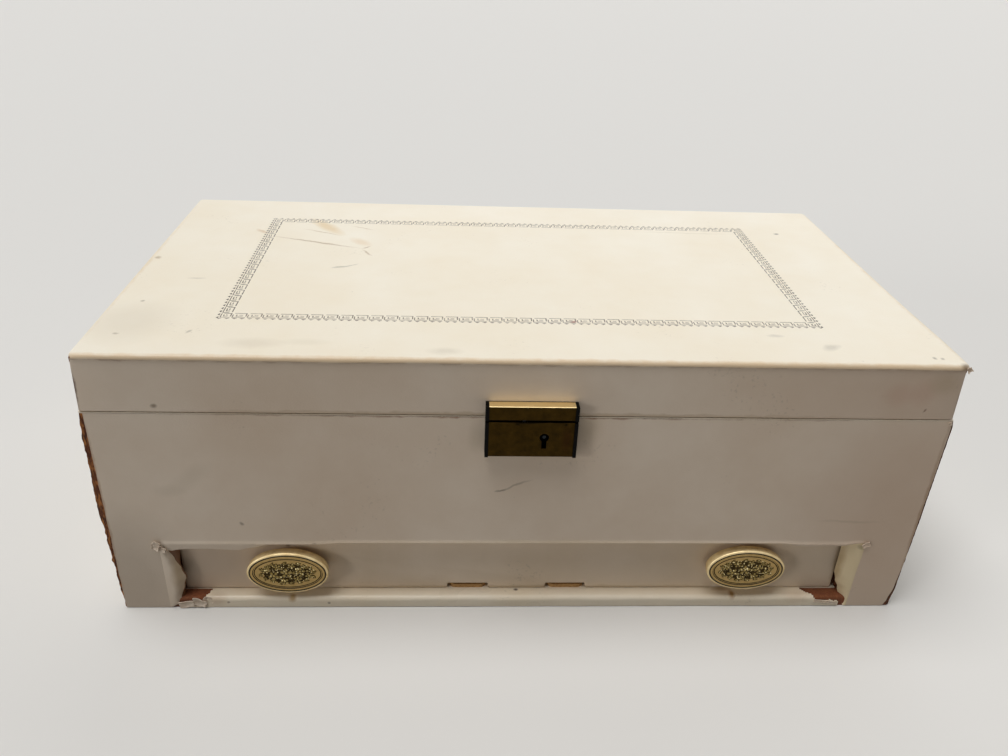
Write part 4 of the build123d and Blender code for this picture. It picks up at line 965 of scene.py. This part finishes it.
# The knobs: two oval stampings in pale gold plate, with a rounded rim and two dark grooves
# round a flat middle in a browner gold. Each stands on a short stem, held by a screw from behind.
def shade_and_soil_in_hollows(tree, tone, reach, clean):
    """Painted shade, with some soiling, that darkens the hollows lying within reach mm, down to none
    where clean of the sky shows.
    """
    hollow = add(tree, "AmbientOcclusion", {"Distance": reach * mm}, "AO")
    hollow_shade = add(tree, "MapRange", {0: hollow, 1: clean - 0.5, 2: clean, 3: 1, 4: 0})
    return add(tree, "Mix", {0: hollow_shade, 6: tone, 7: "#2b2112"}, 2, data_type="RGBA")


# The plating is a lacquer with gold powder in it, so it is half as bright as metal and half as paint
gold, tree, shader, place = material("pale_gold_plate")
tone, film = mottled(tree, place, 260, 5, "#f3dca8", "#dcc089", 0.42, 0.68)
# Painted shade and soiling in the rim's hollows
tone = shade_and_soil_in_hollows(tree, tone, 1.2, 0.85)
shine = add(tree, "MapRange", {0: film, 3: 0.32, 4: 0.48})
surface(tree, shader, tone, shine, 0.45)

# Old polish and tarnish in the grooves, deepened as painted shade: a dull dark olive, hardly metallic,
# that draws two dark rings
tarnish_and_groove_shade, tree, shader, place = material("tarnish_and_painted_shade_in_grooves")
tone, _ = mottled(tree, place, 800, 3, "#3b2f16", "#1e170a")
surface(tree, shader, tone, 0.7, 0.3)

# The plate between the grooves has lost its lacquer: a bare, khaki metal that mirrors the room
khaki, tree, shader, place = material("khaki_gold_plate")
tone, _ = mottled(tree, place, 420, 5, "#b59a68", "#8f7747")
# Painted shade and soiling in the plate's hollows
tone = shade_and_soil_in_hollows(tree, tone, 1, 0.9)
surface(tree, shader, tone, 0.4, 1)


def oval(name, half, low, high, sides=96):
    """An oval disc at the left knob that faces the front, with its half sizes and y range in mm."""
    return primitive(
        name,
        "cylinder",
        vertices=sides,
        radius=mm,
        depth=mm,
        location=(knob_x * mm, (low + high) / 2 * mm, knob_z * mm),
        rotation=(math.pi / 2, 0, 0),
        scale=(*half, high - low),
    )


def join(*pieces):
    """Joins pieces into the first one."""
    pick(*pieces)
    bpy.ops.object.join()
    return pieces[0]


def paired(name, piece):
    """The piece for the left knob, with a copy of it at the right knob."""
    pick(piece)
    bpy.ops.object.duplicate_move(TRANSFORM_OT_translate={"value": [c * mm for c in to_right_knob]})
    copy = bpy.context.object
    bpy.ops.object.transform_apply(location=True, rotation=False, scale=False)
    both = join(piece, copy)
    both.name = name
    return both


def rings(piece, rows):
    """Insets the front face again and again. A row is a ring's width and rise in mm, and its finish."""
    select(piece, "FACE", lambda c, n: n.y < -0.999)
    for width, rise, finish in rows:
        shape = bmesh.from_edit_mesh(piece.data)
        for face in shape.faces:
            if face.select:
                face.material_index = finish
        bmesh.update_edit_mesh(piece.data)
        bpy.ops.mesh.inset(thickness=width * mm, depth=rise * mm)
    leave_edit()


def across_front(c, d):
    return abs(d.y) < 1e-7


# The right knob sits 1.9 mm higher than the left one
knob_x, knob_z, to_right_knob = -110.8, 22.5, (222.7, 0, 1.9)
knob_centre = (knob_x * mm, 0, knob_z * mm)
head_front, head_back, stem_back = -105.2, -99.9, -97.5
head = oval("knob", (19.5, 12.3), head_front, head_back)
select(head, "VERT", lambda c, n: c.y > head_back - 0.1)
bpy.ops.transform.resize(value=(0.97, 1, 0.95), center_override=knob_centre)
leave_edit()
rounded(head, across_front, 0.9, 4)
outer_groove = ((0.2, 0, 0), (0.1, -0.25, 1), (0.55, 0, 1), (0.1, 0.25, 1))
rings(head, (*outer_groove, (1, 0, 2), (0.1, -0.5, 1)))
for finish in (gold, tarnish_and_groove_shade, khaki):
    head.data.materials.append(finish)
left_knob = join(head, oval("stem", (4, 4), head_back, stem_back, 32))
fit(paired("oval_knobs", left_knob), [], "knobs", body="drawer", slot="brass_fittings")


# The knobs' medallions: an oval plate in each, stamped with a spray of flowers and leaves.
# The relief has darkened to bronze, and its high spots are rubbed to a lighter olive, with painted
# glints: pale specks that stand in for highlights.
bronze, tree, shader, place = material("dark_bronze_relief")
tone, _ = mottled(tree, place, 700, 4, "#43351a", "#1d1609")
depth = add(tree, "SeparateXYZ", {0: place}, 1)
rubbed_from, rubbed_to = -105.08 * mm, -105.27 * mm
rubbed = add(tree, "MapRange", {0: depth, 1: rubbed_from, 2: rubbed_to, 4: 0.9})
tone = add(tree, "Mix", {0: rubbed, 6: tone, 7: "#a08b55"}, 2, data_type="RGBA")
# Painted glints: pale gold specks in place of highlights
tone, _ = mottled(tree, place, 1000, 1, tone, "#e2d09c", 0.61, 0.68)
surface(tree, shader, tone, 0.3, 1)

relief_y = -104.85


def bead(dx, dz, size, turn):
    """A flattened ball on the medallion: its offset and half sizes in mm, and its turn."""
    return primitive(
        "bead",
        "uv_sphere",
        segments=12,
        ring_count=8,
        radius=mm,
        location=((knob_x + dx) * mm, relief_y * mm, (knob_z + dz) * mm),
        rotation=(0, -turn, 0),
        scale=(size[0], size[2], size[1]),
    )


def flower(dx, dz, radius, turn):
    """Five petals round a bud."""
    petals = []
    for k in range(5):
        a = turn + k * math.tau / 5
        out = radius * 0.6
        petal = (radius * 0.46, radius * 0.32, 0.42)
        petals.append(bead(dx + out * math.cos(a), dz + out * math.sin(a), petal, a))
    return petals + [bead(dx, dz, (radius * 0.28, radius * 0.28, 0.5), 0)]


def leaf(dx, dz, length, turn):
    """A leaf in two halves with a channel between them."""
    side = Vector((-math.sin(turn), math.cos(turn))) * length * 0.14
    blade = (length * 0.5, length * 0.17, 0.38)
    return [bead(dx + s * side.x, dz + s * side.y, blade, turn + s * 0.18) for s in (-1, 1)]


# Offsets from the knob's middle, radius or length in mm, and turn
flowers = (
    (-0.6, 0.1, 3.2, 0.3), (-6.4, -1.4, 2.9, 0.9), (5.8, 1.2, 2.7, 0.1), (-4.6, 3.6, 2.2, 0.5),
    (2, 4.2, 2, 1.1), (4.4, -3.4, 2.3, 0.2), (-1.6, -4.6, 2.2, 0.7), (-10.2, 1.7, 2.1, 0.4),
    (9.8, -1.2, 2.1, 0.8), (-8.8, 3.5, 1.6, 0.2), (7.9, 3.8, 1.6, 0.6), (-6.8, -4.2, 1.6, 0.9),
)
leaves = (
    (-12.2, -0.8, 2.8, 4.4), (-11.9, 2, 2.6, 1.9), (12.2, 0.8, 2.8, 1.2), (11.9, -1.8, 2.6, -1.3),
    (10.6, 3, 3, 1.9), (-10.4, -2.9, 3, 5.2), (8.4, -3.9, 3, 0.4), (-6.8, 5, 2.8, 0.6),
    (-1, 5.7, 2.8, 0.2), (5.2, 5.4, 2.8, -0.4), (1.4, -5.7, 2.8, 0.2), (-3.8, -5.7, 2.6, -0.3),
    (3, 0.4, 2.8, 0.6), (-3.6, -2.4, 2.6, 3.9), (6, -1.2, 2.4, 0.2), (-2.4, 2.8, 2.4, 2.5),
    (-8.6, 1.6, 2.4, 3.4), (1.2, -2.8, 2.2, 5), (5.4, -5.2, 2.6, 0.4), (9.2, 1.4, 2.2, 0.4),
)
plate = oval("plate", (16.3, 9.1), -104.9, -104.5)
rings(plate, ((0.3, 0, 0), (0.1, -0.2, 1), (0.3, 0, 1), (0.1, 0.2, 1), (0.1, 0, 0)))
spray, wider, taller = [bead(0, 0, (12.8, 6.5, 0.14), 0)], 1.03, 1.08
for make, rows in ((flower, flowers), (leaf, leaves)):
    for dx, dz, size, turn in rows:
        spray += make(wider * dx, taller * dz, size, turn)
spray = join(*spray)
plate.data.materials.append(khaki)
plate.data.materials.append(tarnish_and_groove_shade)
spray.data.materials.append(bronze)
medallions = paired("flower_medallions", join(plate, spray))
fit(medallions, [], "knob_medallions", body="drawer", slot="bronze_medallion")


# Padding: wine-red velvet over thin wadding, on the lid's board round the mirror,
# in the drawer's floor and on the tray's ring rolls. It is redder and softer than the flock.
velvet = pile("wine_red_velvet", "#571021", "#7c2133")


def swell(piece, held, reach):
    """Blows a piece out with Blender's Cloth. Points where held(place in mm) is true stay,
    and no point moves by more than reach mm."""
    start = [vertex.co.copy() for vertex in piece.data.vertices]
    group = piece.vertex_groups.new(name="held")
    group.add([k for k, co in enumerate(start) if held(co / mm)], 1, "REPLACE")
    cloth = piece.modifiers.new("cloth", "CLOTH")
    cloth.settings.vertex_group_mass = "held"
    cloth.settings.use_pressure = True
    cloth.settings.uniform_pressure_force = 4
    cloth.settings.effector_weights.gravity = 0
    for step in range(1, 21):
        bpy.context.scene.frame_set(step)
    bpy.context.view_layer.objects.active = piece
    bpy.ops.object.modifier_apply(modifier=cloth.name)
    bpy.context.scene.frame_set(1)
    for vertex, first in zip(piece.data.vertices, start):
        moved = vertex.co - first
        if moved.length > reach * mm:
            vertex.co = first + moved * (reach * mm / moved.length)
    piece.vertex_groups.clear()


def round_mirror(p):
    """The pad's outer edge, and what lies under the mirror."""
    return abs(p.x) > 179 or abs(p.y) > 92.5 or (abs(p.x) < 134 and abs(p.y) < 59)


def at_dividers(p):
    """The drawer pad's outer edge, and two strips under the dividers."""
    return abs(p.x) > 157 or p.y < -90.4 or p.y > 78.7 or abs(abs(p.x) - 55) < 2


def pad(name, across, along, place_of, held, reach, thickness, body, node, fill):
    """A sheet of velvet that is blown out, with its thickness in mm. Its fill is not used."""
    piece = sheet(name, across, along, place_of)
    swell(piece, held, reach)
    thicken(piece, thickness)
    apply(piece, "SUBSURF", levels=1, render_levels=1)
    fit(piece, [velvet], node, body=body, slot="padded_cloth")


lid_lines = steps(-180.6, 120, 180.6), steps(-94.1, 62, 94.1), lambda x, y: (x, -y, 133.2)
pad("lid_padding", *lid_lines, round_mirror, 2.5, 1.2, "lid", "lid_pad", 0.6)
drawer_lines = steps(-158.6, 106, 158.6), steps(-92, 58, 80.3), lambda x, y: (x, y, 13.1)
pad("drawer_padding", *drawer_lines, at_dividers, 1.2, 1.1, "drawer", "drawer_pad", 0.4)

# The front ring roll is made, and the other nine are repeats of it
rolls = block("ring_roll_padding", (-55.6, -88.4, 84.7), (55.6, -73.8, 100.6))
apply(rolls, "BEVEL", width=6 * mm, segments=4)
apply(rolls, "REMESH", mode="VOXEL", voxel_size=1.6 * mm)
swell(rolls, lambda p: p.z < 85.5, 0.7)
spacing = {"use_relative_offset": False, "use_constant_offset": True}
apply(rolls, "ARRAY", count=10, constant_offset_displace=(0, 16 * mm, 0), **spacing)
fit(rolls, [velvet], "ring_rolls", body="tray", slot="padded_cloth")


# The studio: a pale matt floor and soft light from overhead, with a weak one at the left,
# so that the shadows fall to the right, and another behind for the back.
def in_sight(tree):
    """1 for what the camera sees, also in a mirror or through glass, and 0 for light on the object."""
    rays = add(tree, "LightPath").node.outputs
    direct = {0: rays["Is Camera Ray"], 1: rays["Is Transmission Ray"]}
    seen = {0: add(tree, "Math", direct, operation="MAXIMUM"), 1: rays["Is Glossy Ray"]}
    return add(tree, "Math", seen, operation="MAXIMUM")


# A seamless matt floor: nearly white in sight, and darker for the light that it throws back
pale, tree, shader, place = material("pale_studio_floor")
seen = {0: in_sight(tree), 6: "#94928e", 7: "#dfddd9"}
tone = add(tree, "Mix", seen, 2, data_type="RGBA")
surface(tree, shader, tone, 0.9)
floor = primitive("studio_floor", "plane", size=10)
floor.data.materials.append(pale)

world = bpy.data.worlds.new("studio")
bpy.context.scene.world = world
world.use_nodes = True
tree = world.node_tree
tree.nodes.clear()
level = add(tree, "MapRange", {0: in_sight(tree), 3: 0.06, 4: 1})
sky = add(tree, "Background", {"Color": (1, 1, 1, 1), "Strength": level})
add(tree, "OutputWorld", {"Surface": sky})

towards_key = Vector((-1.15, -0.80, 0.34)).to_track_quat("Z", "Y").to_euler()
for name, strength, spread, turn in (
    ("overhead_light", 2.34, 40, (math.radians(3), math.radians(-12), 0)),
    ("back_fill", 0.7, 70, (math.radians(-64), 0, math.radians(-24))),
    ("left_key", 0.5, 14, towards_key),
):
    bpy.ops.object.light_add(type="SUN", rotation=turn)
    sun = bpy.context.object
    sun.name = name
    sun.data.energy = strength
    sun.data.angle = math.radians(spread)
